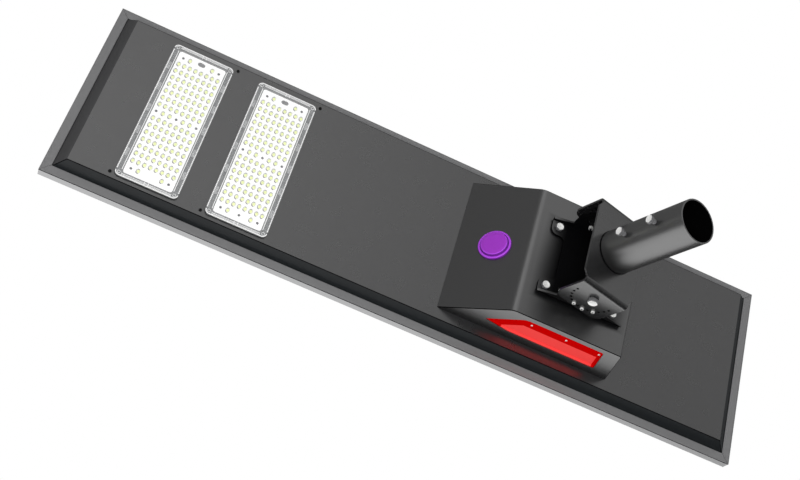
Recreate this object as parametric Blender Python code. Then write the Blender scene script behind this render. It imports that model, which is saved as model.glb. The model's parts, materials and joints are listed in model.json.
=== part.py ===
"""Solar street lamp: panel, lights and battery in one head, on a tilting bracket over the pole.

Metres, +Z up along the pole. The origin is the centre of the sleeve's lower mouth, +X points out
over the road to the lamp end and +Y to the left. The head is drawn level about its tilt axis
and then turned up by its resting tilt.
"""

import math

import bmesh
import bpy
from mathutils import Matrix, Vector

# Fits
GAP = 0.0003
RUNNING_GAP = 0.0015
EAR_PLAY = 0.0035
HOLE_CLEARANCE = 0.0004

# Pole sleeve
SLEEVE_OUTER = 0.073
SLEEVE_WALL = 0.0025
SLEEVE_LENGTH = 0.170
SLEEVE_SIDES = 36
SET_SCREW_HEIGHTS = (0.054, 0.117)
SET_SCREW_CLOCKING = math.radians(-8)
SET_SCREW_SHANK = 0.008
SET_SCREW_FLATS = 0.013
SET_SCREW_HEAD = 0.0055
SET_SCREW_STANDOFF = 0.008

# Saddle, a folded channel welded to the top of the sleeve
SADDLE_SHEET = 0.004
SADDLE_BEND = 0.009
SADDLE_WIDTH = 0.095
SADDLE_WEB_BULGE = 0.0065
SADDLE_BULGE_FROM_EDGE = 0.009
SADDLE_BULGE_BLEND = 0.012
FLANGE_REACH = 0.043
FLANGE_CORNER = 0.016
PIVOT_ABOVE_WEB = 0.031
INDEX_RADIUS = 0.036
INDEX_HOLES = 13
INDEX_PITCH = math.radians(15)
LOCK_PLACES = (-1, 1, 3)

# Tilt of the head, with the lamp end up as positive
REST_TILT = math.radians(18)
LEAST_TILT = math.radians(-15)
MOST_TILT = math.radians(45)

# Base bracket, a folded channel bolted under the battery box
BASE_SHEET = 0.004
BASE_BEND = 0.007
BASE_LENGTH = 0.157
BASE_WIDTH = 0.150
BASE_TAB_WIDTH = 0.031
BASE_RECESS = 0.027
BASE_RECESS_CORNER = 0.009
BASE_TAB_CORNER = 0.012
PIVOT_TO_BOX = 0.0595
EAR_TOE_HEIGHT = 0.0075
EAR_FLANK_HEIGHT = 0.017
EAR_WIDTH = 0.092
EAR_SHOULDER_DROP = 0.015
EAR_HEAD_RADIUS = 0.020
BASE_BOLT_FROM_LAMP_END = 0.0127
BASE_BOLT_FROM_POLE_END = 0.020
BASE_BOLT_FROM_SIDE = 0.016

# Bolts: across flats, head height, shank diameter
BASE_BOLT = (0.013, 0.0055, 0.008)
PIVOT_BOLT = (0.016, 0.0070, 0.010)
LOCK_BOLT = (0.007, 0.0032, 0.004)
PIVOT_NUT_HEIGHT = 0.009
LOCK_NUT_HEIGHT = 0.004
BOLT_TIP = 0.002

# Panel frame, an aluminium extrusion with mitred corners
PANEL_LENGTH = 1.248
PANEL_WIDTH = 0.350
PIVOT_FROM_CENTRE = 0.2565
FRAME_DEPTH = 0.017
FRAME_WALL = 0.0016
FRAME_FLANGE = 0.015
FRAME_FLANGE_SHEET = 0.0015
FRAME_LIP = 0.009
FRAME_LIP_SHEET = 0.0014
FRAME_SHELF_SHEET = 0.0012
FRAME_REBATE = 0.0012
KEY_LEG = 0.045
KEY_WIDTH = 0.0065

# Glass, cells and the junction box behind them
GLASS_THICKNESS = 0.0032
CELL_SHEET_THICKNESS = 0.0010
JUNCTION_BOX = (0.110, 0.070, 0.016)
JUNCTION_BOX_LID = 0.004

# Tray that closes the underside
TRAY_SHEET = 0.0012
TRAY_DROP = 0.0205
TRAY_SEAT = 0.005
TRAY_END_SLOPE = 0.0185
TRAY_SIDE_SLOPE = 0.0095

# Light modules on the tray
MODULE_SPACING = 0.153
MODULE_FROM_LAMP_END = 0.160
MODULE_OFF_MIDDLE = 0.0028
MODULE_NAMES = ("outer", "inner")
LENS_WIDTH = 0.106
LENS_LENGTH = 0.279
LENS_CORNER = 0.008
LENS_FLANGE = 0.0020
LENS_RISE = 0.0008
LENS_SIDE_BORDER = 0.008
LENS_END_BORDER = 0.006
LENS_WALL = 0.0016
SEAL_THICKNESS = 0.0012
BOARD_WIDTH = 0.083
BOARD_LENGTH = 0.260
BOARD_CORNER = 0.004
BOARD_THICKNESS = 0.0016
LED_COLUMNS = 8
LED_ROWS = 15
LED_COLUMN_PITCH = 0.010
LED_ROW_PITCH = 0.0148
DOME_RADIUS = 0.0036
DOME_HEIGHT = 0.0018
DOME_SIDES = 6
LEAD_SLOT_LENGTH = 0.013
LEAD_SLOT_WIDTH = 0.008
LEAD_SLOT_PAST_ROW = 0.0026

# Battery box, a wedge under the tray
BOX_DEPTH = 0.0775
BOX_TIP_FROM_PIVOT = 0.2105
BOX_SLOPE_RUN = 0.105
BOX_FLOOR_RUN = 0.1983
BOX_END_RUN = 0.0123
BOX_BASE_WIDTH = 0.260
BOX_FLOOR_WIDTH = 0.248
BOX_SHEET = 0.002
BOX_BEND = 0.022
BOX_END_BEND = 0.004
BOX_RETURN = 0.014

# Recessed windows in the sides of the box
WINDOW_FROM_SLOPE = 0.026
WINDOW_FROM_FLOOR = 0.011
WINDOW_FROM_END = 0.029
WINDOW_FROM_TRAY = 0.016
WINDOW_TIP_RISE = 0.009
WINDOW_TIP_RUN = 0.045
WINDOW_DEPTH = 0.006
WINDOW_SHEET = 0.0018
WINDOW_SET_BACK = 0.0008

# Motion and light sensor in the slope of the box
SENSOR_FLANGE = 0.058
SENSOR_FLANGE_HEIGHT = 0.004
SENSOR_FACE = 0.0464
SENSOR_FACE_RISE = 0.0045
SENSOR_SPIGOT = 0.040
SENSOR_SPIGOT_WALL = 0.0025
SENSOR_SPIGOT_LENGTH = 0.012
SENSOR_ALONG_SLOPE = 0.0695
SENSOR_NUT_OUTER = 0.050
SENSOR_NUT_HEIGHT = 0.005
SENSOR_BOARD = 0.0015

# Inside the box
BACKING_SHEET = 0.004
BACKING_MARGIN = 0.012
BATTERY_CELL = 0.0325
BATTERY_CELL_COUNT = 4
BATTERY_CELL_PITCH = 0.0330
BATTERY_LENGTH = 0.142
BATTERY_FROM_PIVOT = -0.010
STRAP_SHEET = 0.0015
STRAP_WIDTH = 0.030
STRAP_FOOT = 0.012
CONTROLLER = (0.056, 0.100, 0.024)
CONTROLLER_FROM_PIVOT = 0.099
CONTROLLER_FINS = 6
CONTROLLER_FIN = 0.004
CONTROLLER_FIN_HEIGHT = 0.006

# Levels in the head's own frame, whose origin is the tilt axis
PIVOT_HEIGHT = SLEEVE_LENGTH + PIVOT_ABOVE_WEB
BOX_FLOOR_Z = PIVOT_TO_BOX
TRAY_Z = BOX_FLOOR_Z + BOX_DEPTH + GAP
RIM_Z = TRAY_Z + TRAY_DROP
SHELF_TOP = FRAME_DEPTH - FRAME_LIP_SHEET - GLASS_THICKNESS - CELL_SHEET_THICKNESS - 3 * GAP
SADDLE_INNER = BASE_WIDTH / 2 + EAR_PLAY
SADDLE_OUTER = SADDLE_INNER + SADDLE_SHEET
SIDES = (("left", 1), ("right", -1))


def clear_scene():
    for obj in list(bpy.data.objects):
        bpy.data.objects.remove(obj, do_unlink=True)


def paint(name, red, green, blue, roughness, metallic=0.0):
    """A Principled material from an 8-bit screen colour."""
    material = bpy.data.materials.new(name)
    material.use_nodes = True
    shader = material.node_tree.nodes["Principled BSDF"]
    colour = [(channel / 255) ** 2.2 for channel in (red, green, blue)]
    shader.inputs["Base Color"].default_value = (*colour, 1.0)
    shader.inputs["Roughness"].default_value = roughness
    shader.inputs["Metallic"].default_value = metallic
    return material


def empty(name, location, tilt, parent=None):
    obj = bpy.data.objects.new(name, None)
    obj.location = location
    obj.rotation_euler = (0, tilt, 0)
    obj.parent = parent
    bpy.context.scene.collection.objects.link(obj)
    return obj


def mesh_from(name, shape, smooth=False):
    bmesh.ops.recalc_face_normals(shape, faces=shape.faces)
    mesh = bpy.data.meshes.new(name)
    shape.to_mesh(mesh)
    shape.free()
    if smooth:
        mesh.shade_smooth()
        mesh.set_sharp_from_angle(angle=math.radians(35))
    return mesh


def place(name, mesh, material, parent, location=(0, 0, 0), turn=(0, 0, 0)):
    obj = bpy.data.objects.new(name, mesh)
    if not mesh.materials:
        mesh.materials.append(material)
    obj.parent = parent
    obj.location = location
    obj.rotation_euler = turn
    bpy.context.scene.collection.objects.link(obj)
    return obj


def carve(target, name, shape, operation="DIFFERENCE"):
    """Cuts a shape, drawn in the target's own frame, out of the target."""
    cutter = bpy.data.objects.new(f"{target.name}_{name}", mesh_from(name, shape))
    cutter.parent = target
    cutter.hide_render = True
    cutter.display_type = "WIRE"
    bpy.context.scene.collection.objects.link(cutter)
    modifier = target.modifiers.new(name, "BOOLEAN")
    modifier.operation = operation
    modifier.object = cutter


def arc(centre, radius, start, stop, steps):
    """Points on an arc, both ends included."""
    angles = (start + (stop - start) * step / steps for step in range(steps + 1))
    return [(centre[0] + radius * math.cos(a), centre[1] + radius * math.sin(a)) for a in angles]


def circle(radius, sides, centre=(0, 0)):
    return arc(centre, radius, 0, math.tau * (sides - 1) / sides, sides - 1)


def outline(corners, steps=5):
    """A closed outline through (x, y, radius) corners, each rounded off to its radius."""
    points = []
    for index, (x, y, radius) in enumerate(corners):
        here = Vector((x, y))
        if radius == 0:
            points.append((x, y))
            continue
        to_last = (Vector(corners[index - 1][:2]) - here).normalized()
        to_next = (Vector(corners[(index + 1) % len(corners)][:2]) - here).normalized()
        half_angle = math.acos(max(-1.0, min(1.0, to_last.dot(to_next)))) / 2
        centre = here + (to_last + to_next).normalized() * (radius / math.sin(half_angle))
        reach = radius / math.tan(half_angle)
        first = here + to_last * reach - centre
        last = here + to_next * reach - centre
        start = math.atan2(first.y, first.x)
        sweep = math.remainder(math.atan2(last.y, last.x) - start, math.tau)
        points += arc(centre, radius, start, start + sweep, steps)
    return points


def rounded_rectangle(width, length, radius, steps=3):
    x, y = width / 2, length / 2
    return outline([(x, y, radius), (-x, y, radius), (-x, -y, radius), (x, -y, radius)], steps)


def inset(corners, distance):
    """A convex outline's corners, moved in by a distance on every side."""
    count = len(corners)
    middle = sum((Vector(corner[:2]) for corner in corners), Vector((0, 0))) / count
    lines = []
    for index in range(count):
        start, stop = Vector(corners[index][:2]), Vector(corners[(index + 1) % count][:2])
        normal = Vector((start.y - stop.y, stop.x - start.x)).normalized()
        if normal.dot(middle - start) < 0:
            normal.negate()
        lines.append((normal, normal.dot(start) + distance))
    moved = []
    for index in range(count):
        (a, a_reach), (b, b_reach) = lines[index - 1], lines[index]
        cross = a.x * b.y - a.y * b.x
        x = (a_reach * b.y - b_reach * a.y) / cross
        y = (a.x * b_reach - b.x * a_reach) / cross
        moved.append((x, y, max(corners[index][2] - distance, distance / 4)))
    return moved


def on_axis(axis, point, along):
    first, second = point
    return {
        "X": Vector((along, first, second)),
        "Y": Vector((first, along, second)),
        "Z": Vector((first, second, along)),
    }[axis]


def add_loft(shape, rings, looped=False):
    """Skins a run of equal rings of points, and closes its two ends unless it is looped."""
    rows = [[shape.verts.new(point) for point in ring] for ring in rings]
    pairs = list(zip(rows, rows[1:]))
    if looped:
        pairs.append((rows[-1], rows[0]))
    for low, high in pairs:
        for index in range(len(low)):
            after = (index + 1) % len(low)
            shape.faces.new((low[index], low[after], high[after], high[index]))
    if not looped:
        shape.faces.new(rows[0])
        shape.faces.new(rows[-1])
    return rows


def loft(rings, looped=False):
    shape = bmesh.new()
    add_loft(shape, rings, looped)
    return shape


def prism(points, axis, start, stop, shape=None):
    """An outline pushed along an axis, added to a shape if one is given."""
    shape = shape or bmesh.new()
    add_loft(shape, [[on_axis(axis, p, along) for p in points] for along in (start, stop)])
    return shape


def block(size, centre):
    x, y, z = (edge / 2 for edge in size)
    corners = [(x, y), (-x, y), (-x, -y), (x, -y)]
    shape = prism(corners, "Z", -z, z)
    bmesh.ops.translate(shape, vec=centre, verts=shape.verts)
    return shape


def turned(profile, sides):
    """A closed solid turned about Z from (radius, height) points that start and end on the axis."""
    shape = bmesh.new()
    rings = []
    for radius, height in profile:
        rings.append([Vector((x, y, height)) for x, y in circle(radius, sides)])
    add_loft(shape, rings)
    return shape


def tube(outer, inner, low, high, sides):
    rings = [
        [Vector((x, y, height)) for x, y in circle(radius, sides)]
        for radius, height in ((outer, low), (outer, high), (inner, high), (inner, low))
    ]
    return loft(rings, looped=True)


def hexagon(flats, height):
    """A hexagon as twelve points, so that it skins to a twelve-sided shank."""
    ring = []
    for step in range(12):
        radius = flats / 2 if step % 2 else flats / 2 / math.cos(math.pi / 6)
        angle = math.tau * step / 12
        ring.append(Vector((radius * math.cos(angle), radius * math.sin(angle), height)))
    return ring


def ring_of(radius, height, sides=12):
    return [Vector((x, y, height)) for x, y in circle(radius, sides)]


def bolt_mesh(name, flats, head, shank, length):
    """A hex bolt with the underside of its head at zero, its head up and its shank down."""
    chamfer = head / 5
    rings = [
        ring_of(flats / 2 * 0.94, head),
        hexagon(flats, head - chamfer),
        hexagon(flats, 0),
        ring_of(shank / 2, 0),
        ring_of(shank / 2, -length),
    ]
    return mesh_from(name, loft(rings), smooth=True)


def nut_mesh(name, flats, bore, height):
    rings = [hexagon(flats, 0), hexagon(flats, height), ring_of(bore / 2, height), ring_of(bore / 2, 0)]
    return mesh_from(name, loft(rings, looped=True), smooth=True)


def channel(half_length, half_width, sheet, bend, depth):
    """A folded channel along X: its web lies on Z = 0 and its two flanges rise to the depth."""
    outer = [(half_width, depth)]
    outer += arc((half_width - bend, bend), bend, 0, -math.pi / 2, 6)
    outer += [(-y, z) for y, z in reversed(outer)]
    inner_bend = bend - sheet
    inner = [(half_width - sheet, depth)]
    inner += arc((half_width - bend, bend), inner_bend, 0, -math.pi / 2, 6)
    inner += [(-y, z) for y, z in reversed(inner)]
    return prism(outer + inner[::-1], "X", -half_length, half_length)


def make_sleeve(steel, zinc, mount):
    outer, inner = SLEEVE_OUTER / 2, SLEEVE_OUTER / 2 - SLEEVE_WALL
    shape = tube(outer, inner, 0, SLEEVE_LENGTH - GAP, SLEEVE_SIDES)
    sleeve = place("pole_sleeve", mesh_from("pole_sleeve", shape, smooth=True), steel, mount)
    drills = bmesh.new()
    for height in SET_SCREW_HEIGHTS:
        hole = circle(SET_SCREW_SHANK / 2 + HOLE_CLEARANCE, 12, (0, height))
        prism(hole, "X", inner - SLEEVE_WALL, outer + SLEEVE_WALL, drills)
    bmesh.ops.rotate(drills, matrix=Matrix.Rotation(SET_SCREW_CLOCKING, 3, "Z"), verts=drills.verts)
    carve(sleeve, "set_screw_holes", drills)
    shank = SET_SCREW_STANDOFF + SLEEVE_WALL
    screw = bolt_mesh("set_screw", SET_SCREW_FLATS, SET_SCREW_HEAD, SET_SCREW_SHANK, shank)
    reach = outer + SET_SCREW_STANDOFF
    for name, height in zip(("set_screw_lower", "set_screw_upper"), SET_SCREW_HEIGHTS):
        x, y = reach * math.cos(SET_SCREW_CLOCKING), reach * math.sin(SET_SCREW_CLOCKING)
        turn = (0, math.pi / 2, SET_SCREW_CLOCKING)
        place(name, screw, zinc, mount, (x, y, height), turn)


def index_place(step):
    """(x, z) of an index hole about the tilt axis, counted from straight up toward the pole side."""
    angle = step * INDEX_PITCH
    return -INDEX_RADIUS * math.sin(angle), INDEX_RADIUS * math.cos(angle)


def make_saddle(steel, mount):
    """The web is a little wider than the flanges, blended by a half cosine beside each fold."""
    half, wide = SADDLE_WIDTH / 2, SADDLE_WIDTH / 2 + SADDLE_WEB_BULGE
    depth = PIVOT_ABOVE_WEB + FLANGE_REACH
    shape = channel(wide, SADDLE_OUTER, SADDLE_SHEET, SADDLE_BEND, depth)
    saddle = place("saddle_bracket", mesh_from("saddle_bracket", shape, smooth=True), steel, mount)
    saddle.location = (0, 0, SLEEVE_LENGTH)
    blend_end = SADDLE_OUTER - SADDLE_BULGE_FROM_EDGE
    blend = []
    for step in range(7):
        share = step / 6
        y = blend_end - SADDLE_BULGE_BLEND * share
        blend.append((wide - SADDLE_WEB_BULGE * (1 + math.cos(math.pi * share)) / 2, y))
    past = wide + SADDLE_WEB_BULGE
    far = SADDLE_OUTER + SADDLE_SHEET
    top = depth + SADDLE_SHEET
    side = [(past, far), (half, far), *blend, (past, blend[-1][1])]
    sides = bmesh.new()
    for x_sign in (1, -1):
        for y_sign in (1, -1):
            prism([(x * x_sign, y * y_sign) for x, y in side], "Z", -SADDLE_SHEET, top, sides)
    carve(saddle, "narrow_flanges", sides)
    corner = FLANGE_CORNER
    corners = bmesh.new()
    for x_sign in (1, -1):
        rounded = arc((half - corner, depth - corner), corner, math.pi / 2, 0, 6)
        points = [(past, top), (half - corner, top), *rounded, (past, depth - corner)]
        prism([(x * x_sign, z) for x, z in points], "Y", -far, far, corners)
    carve(saddle, "round_corners", corners)
    drills = bmesh.new()
    pivot_hole = circle(PIVOT_BOLT[2] / 2 + HOLE_CLEARANCE, 16, (0, PIVOT_ABOVE_WEB))
    prism(pivot_hole, "Y", -far, far, drills)
    for step in range(INDEX_HOLES):
        x, z = index_place(step - INDEX_HOLES // 2)
        hole = circle(LOCK_BOLT[2] / 2 + HOLE_CLEARANCE, 8, (x, z + PIVOT_ABOVE_WEB))
        prism(hole, "Y", -far, far, drills)
    carve(saddle, "index_holes", drills)


def make_tilt_bolts(zinc, mount):
    """Pivot and lock bolts with their nuts. They stay with the saddle as the head tilts."""
    ear_inside = BASE_WIDTH / 2 - BASE_SHEET
    head_face = SADDLE_OUTER + GAP
    nut_face = ear_inside - RUNNING_GAP
    places = [("pivot", PIVOT_BOLT, PIVOT_NUT_HEIGHT, [("", (0, 0))])]
    locks = [(f"_{number + 1}", index_place(step)) for number, step in enumerate(LOCK_PLACES)]
    places.append(("lock", LOCK_BOLT, LOCK_NUT_HEIGHT, locks))
    for kind, (flats, head, shank), nut_height, spots in places:
        length = head_face - nut_face + nut_height + BOLT_TIP
        bolt = bolt_mesh(f"{kind}_bolt", flats, head, shank, length)
        nut = nut_mesh(f"{kind}_nut", flats, shank + 2 * GAP, nut_height)
        for side, sign in SIDES:
            turn = (-math.pi / 2 * sign, 0, 0)
            for suffix, (x, z) in spots:
                height = PIVOT_HEIGHT + z
                bolt_name, nut_name = f"{kind}_bolt_{side}{suffix}", f"{kind}_nut_{side}{suffix}"
                place(bolt_name, bolt, zinc, mount, (x, sign * head_face, height), turn)
                seat = nut_face - nut_height
                place(nut_name, nut, zinc, mount, (x, sign * seat, height), turn)


def ear_outline():
    """(x, drop below the box) of an ear from toe to toe, round the tilt axis at its foot."""
    half, shoulder = EAR_WIDTH / 2, PIVOT_TO_BOX - EAR_SHOULDER_DROP
    toe = BASE_LENGTH / 2
    lean = math.atan2(EAR_SHOULDER_DROP, half)
    reach = math.hypot(half, EAR_SHOULDER_DROP)
    tangent = math.acos(EAR_HEAD_RADIUS / reach) - lean
    head = arc((0, PIVOT_TO_BOX), EAR_HEAD_RADIUS, tangent, math.pi - tangent, 8)
    rise = [(toe, EAR_TOE_HEIGHT), (half, EAR_FLANK_HEIGHT), (half, shoulder)]
    return rise + head + [(-x, drop) for x, drop in reversed(rise)]


def make_base_bracket(steel, zinc, head):
    floor = BOX_FLOOR_Z - GAP
    depth = PIVOT_TO_BOX + EAR_HEAD_RADIUS
    shape = channel(BASE_LENGTH / 2, BASE_WIDTH / 2, BASE_SHEET, BASE_BEND, depth)
    bmesh.ops.scale(shape, vec=(1, 1, -1), verts=shape.verts)
    bracket = place("base_bracket", mesh_from("base_bracket", shape, smooth=True), steel, head)
    bracket.location = (0, 0, floor)
    past, far = BASE_LENGTH, BASE_WIDTH
    ear = [(x, GAP - drop) for x, drop in ear_outline()]
    toe = ear[0][1]
    waste = [(past, toe), *ear, (-past, toe), (-past, -depth - BASE_SHEET), (past, -depth - BASE_SHEET)]
    carve(bracket, "ear_outline", prism(waste, "Y", -far, far))
    ends = bmesh.new()
    for sign in (1, -1):
        recess = [(sign * x, y) for x, y in end_recess()]
        prism(recess, "Z", -2 * BASE_SHEET, BASE_SHEET, ends)
    carve(bracket, "end_recesses", ends)
    drills = bmesh.new()
    prism(circle(PIVOT_BOLT[2] / 2 + HOLE_CLEARANCE, 16, (0, -floor)), "Y", -far, far, drills)
    slot_half = LOCK_BOLT[2] / 2 + HOLE_CLEARANCE
    sweep = max(LOCK_PLACES) * INDEX_PITCH - LEAST_TILT
    start, stop = math.pi / 2 - sweep, math.pi / 2 + MOST_TILT - min(LOCK_PLACES) * INDEX_PITCH
    axis = (0, -floor)
    slot = arc(axis, INDEX_RADIUS + slot_half, start, stop, 12)
    slot += arc(*slot_end(axis, stop), slot_half, stop, stop + math.pi, 4)[1:-1]
    slot += arc(axis, INDEX_RADIUS - slot_half, stop, start, 12)
    slot += arc(*slot_end(axis, start), slot_half, start + math.pi, start + math.tau, 4)[1:-1]
    prism(slot, "Y", -far, far, drills)
    for x, y in base_bolt_places():
        hole = circle(BASE_BOLT[2] / 2 + HOLE_CLEARANCE, 12, (x, y))
        prism(hole, "Z", -2 * BASE_SHEET, BASE_SHEET, drills)
    carve(bracket, "holes", drills)
    flats, head_height, shank = BASE_BOLT
    length = BASE_SHEET + BOX_SHEET + BACKING_SHEET + 3 * GAP + BOLT_TIP
    bolt = bolt_mesh("base_bolt", flats, head_height, shank, length)
    for number, (x, y) in enumerate(base_bolt_places()):
        level = floor - BASE_SHEET - GAP
        place(f"base_bolt_{number + 1}", bolt, zinc, head, (x, y, level), (math.pi, 0, 0))


def end_recess():
    """The cut between two tabs at an end of the base bracket, with the tabs' inner corners rounded."""
    end, half = BASE_LENGTH / 2, BASE_WIDTH / 2 - BASE_TAB_WIDTH
    tab, inner = BASE_TAB_CORNER, BASE_RECESS_CORNER
    side = [(end + tab, half + tab)]
    side += arc((end - tab, half + tab), tab, 0, -math.pi / 2, 4)
    side += arc((end - BASE_RECESS + inner, half - inner), inner, math.pi / 2, math.pi, 3)
    return side + [(x, -y) for x, y in reversed(side)]


def slot_end(axis, angle):
    x, z = axis[0] + INDEX_RADIUS * math.cos(angle), axis[1] + INDEX_RADIUS * math.sin(angle)
    return ((x, z),)


def base_bolt_places():
    y = BASE_WIDTH / 2 - BASE_BOLT_FROM_SIDE
    front, back = BASE_LENGTH / 2 - BASE_BOLT_FROM_LAMP_END, BASE_BOLT_FROM_POLE_END - BASE_LENGTH / 2
    return [(front, y), (front, -y), (back, y), (back, -y)]


def make_frame(aluminium, head):
    """Four mitred rails round the panel and the corner keys that join them."""
    shelf_low = SHELF_TOP - FRAME_SHELF_SHEET
    lip_low = FRAME_DEPTH - FRAME_LIP_SHEET
    profile = [
        (FRAME_REBATE, 0), (FRAME_FLANGE, 0), (FRAME_FLANGE, FRAME_FLANGE_SHEET),
        (FRAME_WALL, FRAME_FLANGE_SHEET), (FRAME_WALL, shelf_low), (FRAME_LIP, shelf_low),
        (FRAME_LIP, SHELF_TOP), (FRAME_WALL, SHELF_TOP), (FRAME_WALL, lip_low),
        (FRAME_LIP, lip_low), (FRAME_LIP, FRAME_DEPTH), (0, FRAME_DEPTH),
        (0, FRAME_REBATE), (FRAME_REBATE, FRAME_REBATE),
    ]
    centre = Vector((PIVOT_FROM_CENTRE, 0, RIM_Z))
    half_x, half_y = PANEL_LENGTH / 2, PANEL_WIDTH / 2
    rails = [
        ("frame_rail_left", half_x, half_y, math.pi),
        ("frame_rail_right", half_x, half_y, 0),
        ("frame_rail_lamp_end", half_y, half_x, math.pi / 2),
        ("frame_rail_pole_end", half_y, half_x, -math.pi / 2),
    ]
    for name, half, out, turn in rails:
        rings = []
        for sign in (-1, 1):
            rings.append([Vector((sign * (half - d - GAP / 2), d - out, h)) for d, h in profile])
        mesh = mesh_from(name, loft(rings))
        place(name, mesh, aluminium, head, centre, (0, 0, turn))
    near, wide = FRAME_WALL + GAP, FRAME_WALL + GAP + KEY_WIDTH
    ell = [(near, near), (KEY_LEG, near), (KEY_LEG, wide), (wide, wide)]
    ell += [(y, x) for x, y in reversed(ell[1:3])]
    key_low, key_high = FRAME_FLANGE_SHEET + GAP, shelf_low - GAP
    for end, x_sign in (("lamp", 1), ("pole", -1)):
        for side, y_sign in SIDES:
            points = [(x_sign * (half_x - x), y_sign * (half_y - y)) for x, y in ell]
            mesh = mesh_from("corner_key", prism(points, "Z", key_low, key_high))
            place(f"corner_key_{end}_{side}", mesh, aluminium, head, centre)


def make_panel(glass, cells, black_plastic, head):
    inset_edge = 2 * (FRAME_WALL + GAP)
    size = (PANEL_LENGTH - inset_edge, PANEL_WIDTH - inset_edge)
    cell_low = RIM_Z + SHELF_TOP + GAP
    glass_low = cell_low + CELL_SHEET_THICKNESS + GAP
    for name, low, depth, material in (
        ("cell_sheet", cell_low, CELL_SHEET_THICKNESS, cells),
        ("panel_glass", glass_low, GLASS_THICKNESS, glass),
    ):
        shape = block((*size, depth), (PIVOT_FROM_CENTRE, 0, low + depth / 2))
        place(name, mesh_from(name, shape), material, head)
    length, width, height = JUNCTION_BOX
    top = cell_low - GAP
    step = JUNCTION_BOX_LID
    rings = []
    seam, low = top - height + step, top - height
    for shrink, z in ((0, top), (0, seam), (step, seam), (step, low)):
        points = rounded_rectangle(length - shrink, width - shrink, 2 * step)
        rings.append([Vector((x, y, z)) for x, y in points])
    place("junction_box", mesh_from("junction_box", loft(rings)), black_plastic, head)


def make_tray(steel, head):
    """A pressed pan: a narrow seat inside the frame, sloped walls and a flat floor."""
    seat_x = PANEL_LENGTH / 2 - FRAME_FLANGE + TRAY_SEAT
    seat_y = PANEL_WIDTH / 2 - FRAME_FLANGE + TRAY_SEAT
    wall_x, wall_y = PANEL_LENGTH / 2 - FRAME_FLANGE - GAP, PANEL_WIDTH / 2 - FRAME_FLANGE - GAP
    floor_x, floor_y = wall_x - TRAY_END_SLOPE, wall_y - TRAY_SIDE_SLOPE
    seat = RIM_Z + FRAME_FLANGE_SHEET + GAP
    sheet = TRAY_SHEET
    levels = [
        (floor_x, floor_y, TRAY_Z),
        (wall_x, wall_y, seat),
        (seat_x, seat_y, seat),
        (seat_x, seat_y, seat + sheet),
        (wall_x - sheet, wall_y - sheet, seat + sheet),
        (floor_x - sheet, floor_y - sheet, TRAY_Z + sheet),
    ]
    rings = []
    for x, y, z in levels:
        corners = ((x, y), (-x, y), (-x, -y), (x, -y))
        rings.append([Vector((PIVOT_FROM_CENTRE + a, b, z)) for a, b in corners])
    tray = place("back_tray", mesh_from("back_tray", loft(rings)), steel, head)
    drills = bmesh.new()
    for centre in module_centres():
        slot = [(x, y - MODULE_OFF_MIDDLE) for x, y in lead_slot(centre)]
        prism(slot, "Z", TRAY_Z - sheet, TRAY_Z + 2 * sheet, drills)
    carve(tray, "lead_slots", drills)


def module_centres():
    first = PIVOT_FROM_CENTRE + PANEL_LENGTH / 2 - MODULE_FROM_LAMP_END
    return [first, first - MODULE_SPACING]


def lead_slot(centre):
    """The oval hole for a module's leads, a little past the row after the last full row of lights."""
    y = (LED_ROWS + 1) / 2 * LED_ROW_PITCH + LEAD_SLOT_PAST_ROW
    points = rounded_rectangle(LEAD_SLOT_LENGTH, LEAD_SLOT_WIDTH, LEAD_SLOT_WIDTH * 0.49)
    return [(centre + a, y + b) for a, b in points]


def led_places():
    """(x, y) of every light in a module about its middle.

    Full rows, a middle row that leaves three places for screws, and two lights past each end.
    """
    places = []
    span = (LED_COLUMNS - 1) * LED_COLUMN_PITCH
    for row in range(LED_ROWS):
        y = (row - (LED_ROWS - 1) / 2) * LED_ROW_PITCH
        if row == LED_ROWS // 2:
            places += [(span / 6 * step, y) for step in (-2, -1, 1, 2)]
        else:
            places += [(column * LED_COLUMN_PITCH - span / 2, y) for column in range(LED_COLUMNS)]
    end = (LED_ROWS + 1) / 2 * LED_ROW_PITCH
    return places + [(x, y) for y in (-end, end) for x in (-2 * LED_COLUMN_PITCH, 2 * LED_COLUMN_PITCH)]


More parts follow.
